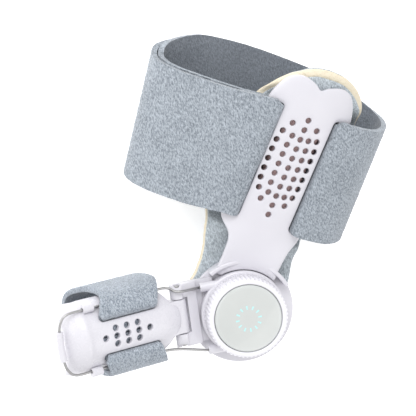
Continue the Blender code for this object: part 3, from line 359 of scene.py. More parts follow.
# %% Dial disc
def disc_look():
    look = Look("disc_gloss", Coat_Weight=0.6, Coat_Roughness=0.04, Specular_IOR_Level=0.5)
    centred = look.node("ShaderNodeMapping", {}, {"Vector": look.place, "Location": (-DIAL.x, -DIAL.y, 0)})
    flat, across = (look.node("ShaderNodeSeparateXYZ", {}, {0: centred}, output=k) for k in (0, 1))
    reach = look.root(flat * flat + across * across)
    turn = look.node("ShaderNodeMath", {"operation": "ARCTAN2"}, {0: across, 1: flat})
    wave = look.node("ShaderNodeMath", {"operation": "COSINE"}, {0: turn * 12.0})
    in_ring = (reach > 0.0040) * (reach < 0.0056)
    ticks = look.ramp(wave, 0.55, 0.75) * in_ring
    haze = look.grain(120, 2)
    base = look.blend(haze, (0.535, 0.555, 0.545, 1), (0.585, 0.605, 0.592, 1))
    # Lighter towards the disc's rounded rim: a painted highlight.
    edge = look.ramp(reach, 0.0125, 0.0142)
    rim_highlighted = look.blend(edge * 0.35, base, (0.66, 0.70, 0.69, 1))
    colour = look.blend(ticks * 0.8, rim_highlighted, (0.42, 0.80, 0.80, 1))
    return look.done(Base_Color=colour, Roughness=0.16 + 0.08 * haze + 0.1 * ticks)


disc_gloss = disc_look()

# %% Steel lace
steel = Look("lace_steel", Metallic=1.0)
drawn = steel.grain(1500, 3)
steel_look = steel.done(Base_Color=steel.blend(drawn, (0.34, 0.34, 0.35, 1), (0.58, 0.57, 0.56, 1)),
                        Roughness=0.30 + 0.2 * drawn)
print("foam, disc and steel made")

# %% [markdown]
# ## Moulded sheets
# Plate, cuff and pad layers are all sheets with an outline, holes and a soft edge. A rim of three rings is
# laid round every edge, the middle is filled with even points, and a constrained triangulation joins them.
# That keeps the rims round and the faces regular, which a Boolean cut through a grid would not.


# %% Triangulated sheet
LONGEST_HOLE = 0.07


def offset_ring(loop, distance, hole):
    """The loop moved into the material."""
    area = sum(a.x * b.y - b.x * a.y for a, b in zip(loop, loop[1:] + loop[:1]))
    sign = (1 if area > 0 else -1) * (-1 if hole else 1)
    ring = []
    for k, point in enumerate(loop):
        along = (loop[(k + 1) % len(loop)] - loop[k - 1]).normalized()
        ring.append(point + Vector((-along.y, along.x)) * sign * distance)
    return ring


def inside(point, loop):
    odd = False
    for a, b in zip(loop, loop[1:] + loop[:1]):
        spans = (a.y > point.y) != (b.y > point.y)
        if spans and point.x < a.x + (b.x - a.x) * (point.y - a.y) / (b.y - a.y):
            odd = not odd
    return odd


def distance_to(point, loop):
    best = 1.0
    for a, b in zip(loop, loop[1:] + loop[:1]):
        run = b - a
        share = min(1.0, max(0.0, (point - a).dot(run) / max(run.length_squared, 1e-12)))
        best = min(best, (point - a - run * share).length_squared)
    return math.sqrt(best)


def moulded_sheet(name, outline, holes, top, bottom, rim, hole_rim, spacing):
    """A sheet between two height functions, rounded at its outline and its holes."""
    points, edges, drops = [], [], []
    for loop, radius in [(outline, rim)] + [(hole, hole_rim) for hole in holes]:
        for share, drop in ((0.0, 1.0), (0.29, 0.29), (1.0, 0.0)):
            ring = offset_ring(loop, share * radius, loop is not outline)
            start = len(points)
            points += ring
            drops += [drop * radius] * len(ring)
            if share < 1.0:
                edges += [(start + k, start + (k + 1) % len(ring)) for k in range(len(ring))]
    low = [min(p[k] for p in outline) for k in range(2)]
    high = [max(p[k] for p in outline) for k in range(2)]
    row, y = 0, low[1] + spacing / 2
    while y < high[1]:
        x = low[0] + spacing * (0.5 if row % 2 else 1.0)
        while x < high[0]:
            point = Vector((x, y))
            if inside(point, outline) and distance_to(point, outline) > rim + spacing * 0.45:
                near = [h for h in holes if (h[0] - point).length < LONGEST_HOLE]
                room = hole_rim + spacing * 0.4
                if all(distance_to(point, h) > room and not inside(point, h) for h in near):
                    points.append(point)
                    drops.append(0.0)
            x += spacing
        row, y = row + 1, y + spacing * 0.866
    made = delaunay_2d_cdt(points, edges, [], 0, 1e-7)
    bm = bmesh.new()
    rings = [bm.verts.new((p.x, p.y, 0)) for p in made[0]]
    fall = {}
    for index, origins in enumerate(made[3]):
        fall[index] = max([drops[k] for k in origins] or [0.0])
    for corners in made[2]:
        centre = sum((made[0][k] for k in corners), Vector((0, 0))) / 3
        if inside(centre, outline) and not any(inside(centre, h) for h in holes):
            bm.faces.new([rings[k] for k in corners])
    for index, vert in enumerate(rings):
        vert.co.z = top(vert.co.x, vert.co.y) - fall[index]
    bmesh.ops.delete(bm, geom=[v for v in bm.verts if not v.link_faces], context="VERTS")
    bmesh.ops.recalc_face_normals(bm, faces=bm.faces[:])
    copied = bmesh.ops.extrude_face_region(bm, geom=bm.faces[:], use_keep_orig=True)
    for vert in [g for g in copied["geom"] if isinstance(g, bmesh.types.BMVert)]:
        vert.co.z = bottom(vert.co.x, vert.co.y)
    return from_bmesh(bm, name)


# %% [markdown]
# ## Foot plate
# The plate is about 2.4 mm thick, gently crowned, flat at the neck and then rising 15 degrees towards the
# heel end, which has two lobes. Two long slots take the strap, and 43 vents lie in five bowed columns.

# %% Plate sizes
PLATE_WALL, PLATE_HALF, CROWN, NECK_CROWN = 0.0024, 0.0183, 0.032, 0.110
PLATE_END, BEND_Y, BEND_HEIGHT, NECK_HEIGHT, NECK_Y = 0.1035, 0.040, 0.0305, 0.0268, 0.024
SLOPE = math.tan(math.radians(15))
SLOT_INNER, SLOT_WIDTH = 0.0109, 0.0034
STRAP_NEAR = 0.0385
STRAP_FAR = PLATE_END - 0.01284
STRAP_RUN = STRAP_FAR - STRAP_NEAR
HUB_RADIUS, HUB_WALL, HUB_FLOOR_WALL, HOUSING_RADIUS = 0.0228, 0.0018, 0.0024, 0.0182
VENT_RADIUS, VENT_PITCH, VENT_SKEW = 0.00128, 0.0043, 0.045
VENT_MIDDLE = (STRAP_NEAR + STRAP_FAR) / 2 + 0.0006


def spine_height(y):
    past = y - BEND_Y
    rise = (BEND_HEIGHT - NECK_HEIGHT) / (BEND_Y - NECK_Y)
    return BEND_HEIGHT + rise * past + (SLOPE - rise) * (past + math.sqrt(past * past + 0.006 ** 2)) / 2


def crown_drop(across, y):
    """The plate is crowned across; its neck is flatter."""
    share = soft_step((y - NECK_Y) / (STRAP_NEAR - NECK_Y))
    return across ** 2 / 2 * ((1 - share) / NECK_CROWN + share / CROWN)


def plate_top(x, y):
    return spine_height(y) - crown_drop(x - PLATE_X, y)


# %% Plate outline and vents
def plate_outline():
    half, neck, lobe, end, near, shift = PLATE_HALF, 0.0130, 0.0170, PLATE_END, STRAP_NEAR, 0.0014
    side = [(neck, 0.012), (neck - 0.0004, NECK_Y - 0.002), (neck + 0.0006, NECK_Y + 0.006),
            (half - 0.0008, near - 0.002), (half, near + 0.006), (half, near + 0.020), (half, end - 0.030),
            (half, end - 0.016), (lobe + 0.0006, end - 0.0095), (lobe - 0.0026, end - 0.0028),
            (lobe * 0.55, end), (lobe * 0.20, end - 0.0014)]
    right = [Vector((PLATE_X + x + (shift if y < near - 0.003 else 0), y)) for x, y in side]
    left = [Vector((PLATE_X - x + (shift if y < near - 0.003 else 0), y)) for x, y in reversed(side)]
    path = smooth_path(right + [Vector((PLATE_X, end - 0.0034))] + left, 8)
    recess = HOUSING_RADIUS + GAP
    kept = [p for p in path if p.length > recess + 0.0004]
    corner = 180 - math.degrees(math.asin(kept[-1].y / recess))
    return kept + arc((0, 0), recess, corner, math.degrees(math.atan2(kept[0].y, kept[0].x)), 40)


vents = []
vent_table = (
    # column from the middle, vents, shift along the plate and bow, in pitches
    (0.0, 11, 0.0, 0.0), (1.0, 7, 0.12, 0.16), (2.0, 9, 0.30, 0.75))
for across, count, shift, bow in vent_table:
    for side in ((1, -1) if across else (1,)):
        for k in range(count):
            share = 2 * k / (count - 1) - 1
            along = VENT_MIDDLE + (share * (count - 1) / 2 + shift) * VENT_PITCH
            reach = side * (across - bow * share ** 4)
            reach -= VENT_SKEW * reach ** 2
            vents.append(circle(PLATE_X + reach * VENT_PITCH, along, VENT_RADIUS, 18))
strap_slots = []
for side, inner in ((-1, SLOT_INNER + 0.0005), (1, SLOT_INNER)):
    edges = sorted((PLATE_X + side * inner, PLATE_X + side * (SLOT_INNER + SLOT_WIDTH)))
    strap_slots.append(slot(*edges, STRAP_NEAR + 0.0006, STRAP_FAR - 0.0006))
print("vents", len(vents))

# %% Plate
plate = moulded_sheet("vented_plate", plate_outline(), vents + strap_slots, plate_top,
                      lambda x, y: plate_top(x, y) - PLATE_WALL, 0.0007, 0.00028, 0.0019)
keep(bake(plate, brace_place, 50), plate_white, "brace", "white_plastic", "foot_plate")

# %% [markdown]
# The hub is a shallow cup under the dial: a floor that carries the arm's ring and a low wall on the side of
# the plate. Both are turned about the dial's axis, so a profile is spun; the wall is spun only part way.


# %% Turning
def turned(name, profile, steps=96, start=0.0, sweep=360.0):
    """A closed profile of radius and height pairs spun about the dial's axis."""
    bm = bmesh.new()
    loop = [bm.verts.new((r, 0, z)) for r, z in profile]
    face = bm.faces.new(loop)
    first_turn = Matrix.Rotation(math.radians(start), 3, "Z")
    bmesh.ops.rotate(bm, cent=(0, 0, 0), matrix=first_turn, verts=bm.verts[:])
    whole = abs(sweep - 360.0) < 0.01
    geometry = loop + list(face.edges) + ([] if whole else [face])
    if whole:
        bm.faces.remove(face)
    bmesh.ops.spin(bm, geom=geometry, cent=(0, 0, 0), axis=(0, 0, 1), angle=math.radians(sweep), steps=steps,
                   use_merge=whole)
    bmesh.ops.remove_doubles(bm, verts=bm.verts[:], dist=2e-6)
    return from_bmesh(bm, name)


def rounded(piece, width, segments=3, angle=35):
    edge = piece.modifiers.new("edge", "BEVEL")
    edge.width, edge.segments = width, segments
    edge.limit_method, edge.angle_limit = "ANGLE", math.radians(angle)
    return piece


# %% Hub
hub_base, wall_foot = HUB_TOP - HUB_FLOOR_WALL, HUB_TOP - 0.0008
hub_floor = turned("hub_floor", [(0, hub_base), (HUB_RADIUS, hub_base), (HUB_RADIUS, HUB_TOP), (0, HUB_TOP)])
keep(bake(rounded(hub_floor, 0.0004), brace_place), plate_white, "brace", "white_plastic")
rim_height = plate_top(0, HUB_RADIUS) - 0.0006
hub_wall = turned("hub_wall", [(HUB_RADIUS - HUB_WALL, wall_foot), (HUB_RADIUS, wall_foot),
                               (HUB_RADIUS, rim_height), (HUB_RADIUS - HUB_WALL, rim_height)], 48, 50, 100)
keep(bake(rounded(hub_wall, 0.0005), brace_place), plate_white, "brace", "white_plastic")

# %% [markdown]
# ## Pad
# Three layers lie under the plate: plush, a cream foam with a cut edge, and plush again on the foot's side.
# They bow down at the sides, and the folded strap presses a groove beside the plate's middle.

# %% Pad shape
PAD_HALF, PAD_FLAT, PAD_DROP, PAD_OVERHANG = 0.025, 0.0085, 0.0092, 0.005
PAD_TIP, PAD_TIP_RADIUS = (-0.0045, 0.002), 0.0212
GROOVE_START, STRAP_WALL = 0.0082, 0.0024
PAD_AT_HUB = HUB_TOP - HUB_FLOOR_WALL - GAP


def pad_height(x, y):
    across = abs(x - PLATE_X)
    past = max(0.0, across - PAD_FLAT) / (PAD_HALF - PAD_FLAT)
    room = STRAP_WALL + 2 * GAP + crown_drop(PLATE_HALF, y)
    press = soft_step((across - GROOVE_START) / (SLOT_INNER - 0.0004 - GROOVE_START))
    press *= soft_step((y - STRAP_NEAR + 0.007) / 0.006) * soft_step((STRAP_FAR + 0.007 - y) / 0.006)
    wing = PAD_DROP * past ** 1.35 + room * press * (1 - 0.4 * past * past)
    under = spine_height(y) - PLATE_WALL - GAP - crown_drop(min(across, PAD_FLAT), y) - wing
    return PAD_AT_HUB + (under - PAD_AT_HUB) * soft_step((y - HUB_RADIUS - 0.001) / 0.014)


def pad_outline(inset, end_inset, ripple=0.0):
    end, half = PLATE_END + PAD_OVERHANG - end_inset, PAD_HALF - inset
    side = [(half * 0.91, 0.0138), (half * 0.85, 0.030), (half, 0.048), (half, 0.066),
            (half, end - 0.022), (half * 0.90, end - 0.0085), (half * 0.50, end - 0.0008),
            (0, end + 0.0005), (-half * 0.38, end - 0.0029),
            (-half * 0.73, end - 0.0110), (-half * 0.98, end - 0.0264), (-half, 0.066), (-half, 0.048),
            (-half * 0.87, 0.030), (-half * 0.76, 0.0198)]
    path = [Vector((PLATE_X + x, y)) for x, y in side] + arc(PAD_TIP, PAD_TIP_RADIUS - inset, 158, 325, 7)
    loop = even_path(smooth_path(path, 8, closed=True), 0.0016)[:-1]
    return [p + Vector((noise.noise(Vector((p.x * 300, p.y * 300, 1))),
                        noise.noise(Vector((p.x * 300, p.y * 300, 5))))) * ripple for p in loop]


def ruffle(piece, size, depth):
    """Moves each point along its normal by smooth noise, as the pile of a fabric does."""
    for vert in piece.data.vertices:
        spot = vert.co * size
        vert.co += vert.normal * (noise.noise(spot) + 0.5 * noise.noise(spot * 2.3)) * depth
    piece.data.update()
    return piece


# %% Pad layers
layer_table = (
    # name, depth of its top, wall, insets at the sides and the end, edge radius, look, slot, node
    ("pad_top_cloth", 0.0, 0.0014, (0.0012, 0.0036), 0.0006, lining_plush, "grey_plush", "pad_cover"),
    ("pad_foam_core", 0.0017, 0.0036, (0.0008, 0.0004), 0.0010, foam_look, "cream_foam", "pad_foam"),
    ("pad_foot_cloth", 0.0056, 0.0014, (0.0020, 0.0), 0.0006, pad_plush, "grey_plush", "pad_lining"),
)
for name, depth, wall, insets, edge, look, material_slot, node in layer_table:
    layer = moulded_sheet(name, pad_outline(*insets, 0.0002), [], lambda x, y: pad_height(x, y) - depth,
                          lambda x, y: pad_height(x, y) - depth - wall, edge, 0.0005, 0.0022)
    bake(layer, brace_place, 60)
    if material_slot == "grey_plush":
        ruffle(layer, 900, 0.00010)
    keep(layer, look, "brace", material_slot, node)

# %% [markdown]
# ## Foot strap
# One plush band, 52 mm wide: it doubles back over the left bar of the plate, goes down through the slot,
# round the loop and up through the right slot. A grid is laid along that path and across the width, then
# given its wall and soft edges. The pile is real relief, so the outline is fuzzy as well as the shading.

# %% Strap path
LEFT_NEAR, LEFT_FAR, RIGHT, LEAN = 0.0593, 0.0658, 0.038, 0.0215
FOLD, OUTER_STEP, CORNER = 0.0013, 0.0011, 0.0019
loop_table = (
    # side, share of the width, share of the height, share of the lean
    (-1, 0.42, 0.985, -0.03), (-1, 0.64, 0.865, -0.05), (-1, 0.84, 0.66, -0.05), (-1, 0.955, 0.43, 0.03),
    (-1, 0.945, 0.20, 0.30), (-1, 0.82, 0.055, 0.58), (-1, 0.66, 0.0, 0.74), (-1, 0.30, 0.0, 0.82),
    (1, 0.40, 0.0, 0.75), (1, 0.72, 0.04, 0.54), (1, 0.93, 0.20, 0.38), (1, 0.965, 0.44, 0.26),
    (1, 0.90, 0.70, 0.14), (1, 0.74, 0.90, 0.04))


def fold_turn(side, over, under):
    centre = SLOT_INNER + SLOT_WIDTH / 2 + FOLD
    turn = arc((centre, over - FOLD), FOLD, 90, 180, 7) + arc((centre, under + FOLD), FOLD, 180, 270, 7)
    return [Vector((side * p.x, p.y, 0)) for p in turn]


def corner_pull(reach):
    """How far a band's edge is drawn in near its fold, which rounds the corner it shows from above."""
    left = CORNER - min(CORNER, max(0.0, reach))
    return CORNER - math.sqrt(CORNER ** 2 - left ** 2)


def strap_path(share):
    """The band's middle line at a share of its width: across, height and shift along the plate."""
    y = STRAP_NEAR + share * STRAP_RUN
    left = LEFT_NEAR + share * (LEFT_FAR - LEFT_NEAR)
    slot_edge = SLOT_INNER + SLOT_WIDTH
    bar_top = plate_top(PLATE_X + slot_edge, y)
    bar_drop = crown_drop(PLATE_HALF, y) - crown_drop(slot_edge, y)
    over = bar_top + GAP + STRAP_WALL / 2
    under = bar_top - bar_drop - PLATE_WALL - GAP - STRAP_WALL / 2
    low, pitch, bar = STRAP_WALL / 2, STRAP_WALL + GAP, (slot_edge + PLATE_HALF) / 2
    size = {-1: (-left, under - low), 1: (RIGHT, over - low)}
    loop = [Vector((size[s][0] * w, low + size[s][1] * h, LEAN * k)) for s, w, h, k in loop_table]
    main = smooth_path([Vector((-bar, under, 0)), Vector((-bar - 0.004, under - 0.0001, 0))] + loop
                       + [Vector((bar + 0.003, over - GAP, 0)), Vector((bar, over, 0))], 6)
    main = [Vector((p.x, max(p.y, low), p.z)) for p in main]
    outer = []
    for k in range(12, int(len(main) * 0.40)):
        along = main[k + 1] - main[k - 1]
        outward = Vector((along.y, -along.x, 0)).normalized()
        near = max(0.0, 1 - (-main[k].x - bar) / 0.022)
        step = OUTER_STEP * soft_step((-main[k].x - bar) / 0.020)
        outer.append(main[k] + outward * (pitch + (over - under - pitch) * near ** 2) - Vector((0, 0, step)))
    outer.reverse()
    outer.append(Vector((-bar - 0.0005, over, 0)))
    tail = [Vector((bar, under, 0)), Vector((bar + 0.0045, under - 0.001, 0))]
    path = outer + fold_turn(-1, over, under) + main + fold_turn(1, over, under) + tail
    places = []
    for p in even_path(path, 0.0011):
        pull = corner_pull(abs(p.x) - SLOT_INNER - SLOT_WIDTH / 2) if p.y > under - 0.004 else 0.0
        places.append(Vector((PLATE_X + p.x, y + p.z + pull * (1 - 2 * share), p.y)))
    return places


# %% Band
def band(name, paths, wall, edge, rows):
    """A cloth band through a list of paths, given its wall and soft edges."""
    count = min(len(path) for path in paths)
    bm = bmesh.new()
    bmesh.ops.create_grid(bm, x_segments=count - 1, y_segments=rows, size=0.5)
    for vert in bm.verts:
        k = round((vert.co.x + 0.5) * (count - 1))
        v = (vert.co.y + 0.5) * (len(paths) - 1)
        lower = min(int(v), len(paths) - 2)
        spots = [paths[lower + i][round(k * (len(paths[lower + i]) - 1) / (count - 1))] for i in (0, 1)]
        vert.co = spots[0].lerp(spots[1], v - lower)
    piece = from_bmesh(bm, name)
    solid = piece.modifiers.new("wall", "SOLIDIFY")
    solid.thickness, solid.offset, solid.use_even_offset = wall, 0.0, True
    return rounded(piece, edge, 3, 60)


def mark_loop_shade(piece, place, way, middle):
    """Writes how far each point of a loop faces the loop's middle, for the painted shade on the loop's inner
    side.
    """
    back = place.inverted()
    marks = []
    for vert in piece.data.vertices:
        out = back @ vert.co - Vector(middle)
        out[way] = 0.0
        facing = (back.to_3x3() @ vert.normal).dot(-out.normalized())
        marks.append(soft_step((facing + 0.05) / 0.5))
    piece.data.attributes.new("inner", "FLOAT", "POINT").data.foreach_set("value", marks)


strap_paths = [strap_path(k / 8) for k in range(9)]
strap_length = sum((b - a).length for a, b in zip(strap_paths[4], strap_paths[4][1:]))
strap = bake(band("plush_foot_strap", strap_paths, STRAP_WALL, 0.0008, 52), brace_place, 75)
# Painted shade on the inner side of the foot strap's loop.
mark_loop_shade(strap, brace_place, 1, (-0.016, 0, 0.019))
ruffle(strap, 780, 0.00016)
keep(strap, strap_plush, "brace", "grey_plush", "foot_strap")
print("foot strap length in mm", round(strap_length * 1000))

# %% [markdown]
# ## Dial
# The ring's grip has 60 fine vertical ribs that stop below a plain bevelled rim. It is drawn as a ribbed
# circle, extruded up in steps and inset; the disc sits in it with a narrow dark joint round it.

# %% Dial ring
CAP_RADIUS, RING_RADIUS, RIBS = 0.0143, 0.0172, 60
ring_levels = (
    # height above the base, radius, share of the rib's depth
    (0.0000, -0.0006, 0.3), (0.0006, 0.0, 1.0), (RING_HEIGHT - 0.0016, 0.0, 1.0),
    (RING_HEIGHT - 0.0008, -0.0003, 0.6), (RING_HEIGHT - 0.0002, -0.0009, 0.0), (RING_HEIGHT, -0.0014, 0.0),
    (RING_HEIGHT, CAP_RADIUS + GAP + 0.0004 - RING_RADIUS, 0.0),
    (RING_HEIGHT - 0.0004, CAP_RADIUS + GAP - RING_RADIUS, 0.0),
    (RING_HEIGHT - 0.0036, CAP_RADIUS + GAP - RING_RADIUS, 0.0),
    (RING_HEIGHT - 0.0036, 0.0056 - RING_RADIUS, 0.0), (0.0, 0.0056 - RING_RADIUS, 0.0))
bm = bmesh.new()
bmesh.ops.create_grid(bm, x_segments=RIBS * 6, y_segments=len(ring_levels), size=0.5)
for vert in bm.verts:
    turn = (vert.co.x + 0.5) * math.tau
    height, reach, rib = ring_levels[round((vert.co.y + 0.5) * len(ring_levels)) % len(ring_levels)]
    radius = RING_RADIUS + reach - rib * 0.0007 * (0.5 + 0.5 * math.cos(turn * RIBS)) ** 1.3
    vert.co = Vector((radius * math.cos(turn), radius * math.sin(turn), RING_BASE + height))
bmesh.ops.remove_doubles(bm, verts=bm.verts[:], dist=2e-6)
ring = bake(from_bmesh(bm, "ribbed_ring"), arm_place, 60)
# The ring's lighter white is painted light on its shaded side wall.
keep(ring, dial_white, "dial", "white_plastic", "dial_ring")

# %% Dial disc
cap_base = TOP - CAP_HEIGHT
disc = turned("dial_disc", [(0, cap_base), (CAP_RADIUS, cap_base), (CAP_RADIUS, TOP - 0.0010),
                            (CAP_RADIUS - 0.0005, TOP - 0.0005), (CAP_RADIUS * 0.82, TOP - 0.0003),
                            (CAP_RADIUS * 0.5, TOP - 0.0001), (0, TOP)], 128)
keep(bake(disc, arm_place, 30), disc_gloss, "dial", "cap_gloss", "dial_cap")

# %% [markdown]
# ## Spool housing and arm
# Under the dial is a round housing with two noses where the lace comes out. It sits on the ring of the arm,
# whose fork rises to the hinge and holds the cuff's tongue.

# %% Housing
AXLE_RADIUS, HOUSING_EDGE = 0.005, 0.0006
top, axle_top = HOUSING_BASE + HOUSING_HEIGHT, cap_base - GAP * 2
housing = turned("housing_body", [(0, HOUSING_BASE), (HOUSING_RADIUS, HOUSING_BASE),
                                  (HOUSING_RADIUS, top - HOUSING_EDGE), (HOUSING_RADIUS - HOUSING_EDGE, top),
                                  (AXLE_RADIUS, top), (AXLE_RADIUS, axle_top), (0, axle_top)])
keep(bake(rounded(housing, 0.0003, 2), arm_place), arm_white, "arm", "white_plastic", "spool_housing")


# %% Side shapes
def side_block(name, outline, half_width):
    """An outline of along and height pairs, extruded across."""
    bm = bmesh.new()
    face = bm.faces.new([bm.verts.new((p.x, -half_width, p.y)) for p in outline])
    made = bmesh.ops.extrude_face_region(bm, geom=[face], use_keep_orig=True)
    bmesh.ops.translate(bm, verts=[g for g in made["geom"] if isinstance(g, bmesh.types.BMVert)],
                        vec=(0, 2 * half_width, 0))
    return from_bmesh(bm, name)


def cut(piece, tool, operation="DIFFERENCE"):
    scene.collection.objects.link(tool)
    tool.hide_render = True
    step = piece.modifiers.new(operation.lower(), "BOOLEAN")
    step.operation, step.solver, step.object = operation, "EXACT", tool
    return tool


# %% Arm
KNUCKLE, FORK_WIDTH, FORK_START, TONGUE, SHOULDER = 0.0033, 0.027, 0.0185, 0.0146, 0.0030
FORK_FOOT, FORK_FOOT_RUN, PIN_RADIUS, PIN_BORE, CUT_REACH = 0.011, 0.0116, 0.0011, 0.0014, 0.06
arm_top = ARM_BASE + ARM_WALL
ring_plate = turned("arm_ring", [(0, ARM_BASE), (HOUSING_RADIUS, ARM_BASE), (HOUSING_RADIUS, arm_top),
                                 (0, arm_top)])
keep(bake(rounded(ring_plate, 0.0004), arm_place), arm_white, "arm", "white_plastic")
rise, run = PIN_HEIGHT - arm_top, PIN_REACH - FORK_START
fork_side = ([Vector((FORK_FOOT, ARM_BASE + 0.0002)), Vector((FORK_FOOT, arm_top - 0.0002))]
             + [Vector((FORK_START + run * along, arm_top + rise * up))
                for along, up in ((0.0, -0.03), (0.05, 0.58), (0.35, 0.86), (0.75, 1.20))]
             + arc((PIN_REACH, PIN_HEIGHT), KNUCKLE, 118, -75, 25)
             + [Vector((FORK_FOOT + FORK_FOOT_RUN, ARM_BASE + 0.0003))])
fork = side_block("fork_arm", fork_side, FORK_WIDTH / 2)
half, low, high = FORK_WIDTH / 2, ARM_BASE - 0.001, PIN_HEIGHT + KNUCKLE
shoulder = [(half - SHOULDER * inward, high - SHOULDER * down)
            for inward, down in ((0, 1), (0.7, 0.31), (1.6, -0.04))]
mirrored = [(-x, z) for x, z in reversed(shoulder)]
crown_points = [Vector(p) for p in [(-half, low), (half, low)] + shoulder + mirrored]
crown = side_block("crown_tool", crown_points, 0.03)
crown.data.transform(Matrix.Translation((0.03, 0, 0)) @ Matrix.Rotation(math.radians(-90), 4, "Z"))
mouth_start = PIN_REACH - KNUCKLE - 0.0006
web_end, web_top = mouth_start + 0.0014, ARM_BASE + 0.0022
mouth_points = [(mouth_start, web_top), (web_end, web_top), (web_end, 0), (CUT_REACH, 0),
                (CUT_REACH, CUT_REACH), (mouth_start, CUT_REACH)]
mouth = side_block("mouth_tool", [Vector(p) for p in mouth_points], TONGUE / 2 + 0.0004)
bore = side_block("bore_tool", circle(PIN_REACH, PIN_HEIGHT, PIN_BORE, 24), FORK_WIDTH)
tools = [cut(fork, crown, "INTERSECT"), cut(fork, mouth), cut(fork, bore)]
keep(bake(rounded(fork, 0.00045), fork_place), arm_white, "arm", "white_plastic", "toe_arm")
for tool in tools:
    bpy.data.objects.remove(tool)

# %% Pin
pin = side_block("knuckle_pin", circle(PIN_REACH, PIN_HEIGHT, PIN_RADIUS, 24), FORK_WIDTH / 2 - 0.0004)
keep(bake(rounded(pin, 0.0002), fork_place), steel_look, "arm", "steel", "hinge_pin")

# %% [markdown]
# ## Toe cuff
# A small splint, crowned across the toe, rolled down at its tip and narrowed to a tongue at the hinge. It
# has 11 vents between the two slots of the toe strap.

# %% Cuff shape
CUFF_START, CUFF_LENGTH, CUFF_HALF, CUFF_WALL = 0.0018, 0.0512, 0.0155, 0.002
CUFF_TOP, CUFF_RADIUS, HEEL_LENGTH, HEEL_DROP = 0.0052, 0.016, 0.009, 0.0021
CUFF_END, TIP_LENGTH, TIP_DROP, TIP_CREASE = CUFF_START + CUFF_LENGTH, 0.0062, 0.0056, 0.35
RIDGE_HEIGHT, RIDGE_FROM_TIP, RIDGE_WIDTH = 0.0005, 0.0072, 0.0012
CUFF_SLOT_INNER, CUFF_SLOT_OUTER, CUFF_SLOT_MIDDLE = 0.0068, 0.0100, 0.0084
CUFF_VENTS_ALONG, CUFF_VENT_PITCH, CUFF_VENT_ROW, CUFF_VENT_RADIUS = 0.028, 0.0052, 0.0033, 0.0014
TOE_START, TOE_WIDTH, TOE_WALL = 0.0125, 0.027, 0.0024


def cuff_height(along, across):
    side = min(abs(across), CUFF_RADIUS * 0.985)
    drop = CUFF_RADIUS - math.sqrt(CUFF_RADIUS ** 2 - side ** 2)
    tip = max(0.0, along - (CUFF_END - TIP_LENGTH)) / TIP_LENGTH
    heel = max(0.0, CUFF_START + HEEL_LENGTH - along) / HEEL_LENGTH
    ridge = RIDGE_HEIGHT * math.exp(-((along - CUFF_END + RIDGE_FROM_TIP) / RIDGE_WIDTH) ** 2)
    roll = TIP_DROP * (TIP_CREASE * tip + (1 - TIP_CREASE) * tip ** 2)
    return CUFF_TOP - drop + ridge - roll - HEEL_DROP * heel ** 2


def cuff_outline():
    half, start, end = CUFF_HALF, CUFF_START, CUFF_END
    side = [(start, 0.25), (start + 0.0038, 0.52), (start + 0.0080, 0.86), (start + 0.0140, 1.0),
            (start + 0.0250, 1.0), (end - 0.0080, 1.0), (end - 0.0020, 0.97), (end, 0.80)]
    upper = [Vector((x, share * half)) for x, share in side]
    lower = [Vector((p.x, -p.y)) for p in reversed(upper)]
    return even_path(smooth_path(upper + [Vector((end + 0.0006, 0))] + lower, 8, closed=True), 0.0009)[:-1]


cuff_holes = []
for side in (-1, 1):
    across = sorted((side * CUFF_SLOT_INNER, side * CUFF_SLOT_OUTER))
    upright = slot(across[0], across[1], TOE_START + 0.0002, TOE_START + TOE_WIDTH - 0.0002)
    cuff_holes.append([Vector((p.y, p.x)) for p in upright])
for row in (-1, 0, 1):
    count = 5 if row == 0 else 3
    for k in range(count):
        along = CUFF_VENTS_ALONG + (k - (count - 1) / 2) * CUFF_VENT_PITCH
        cuff_holes.append(circle(along, row * CUFF_VENT_ROW, CUFF_VENT_RADIUS, 20))
cuff = moulded_sheet("vented_cuff", cuff_outline(), cuff_holes, cuff_height,
                     lambda x, y: cuff_height(x, y) - CUFF_WALL, 0.0006, 0.00028, 0.0011)
keep(bake(cuff, cuff_place, 50), cuff_white, "cuff", "white_plastic", "toe_cuff")

# %% Tongue
TONGUE_END = 0.0112
radius, under = KNUCKLE - 0.0004, CUFF_TOP - CUFF_WALL
tongue_points = [(0.0060, -radius), (TONGUE_END, under - 0.0020), (TONGUE_END, under + 0.0006),
                 (0.0019, radius - 0.0004)]
tongue_side = arc((0, 0), radius, 90, 270, 21) + [Vector(p) for p in tongue_points]
tongue = side_block("cuff_tongue", tongue_side, TONGUE / 2)
bore = side_block("bore_tool", circle(0, 0, PIN_BORE, 24), FORK_WIDTH)
cut(tongue, bore)
keep(bake(rounded(tongue, 0.0004), cuff_place), cuff_white, "cuff", "white_plastic")
bpy.data.objects.remove(bore)

# %% [markdown]
# ## Toe strap
# The toe's band comes up out of both slots, turns over the sides of the cuff and runs round under the toe.
# Its ends nearly meet under the cuff. It bulges a little over the edges, as a soft band under no load does.

# %% Toe strap
TOE_DEPTH, TOE_HALF, TOE_LEAN = 0.033, 0.0172, -0.0045


def on_shoulder(radius):
    turn = math.radians(50)
    return radius * math.sin(turn), CUFF_TOP - CUFF_RADIUS + radius * math.cos(turn)


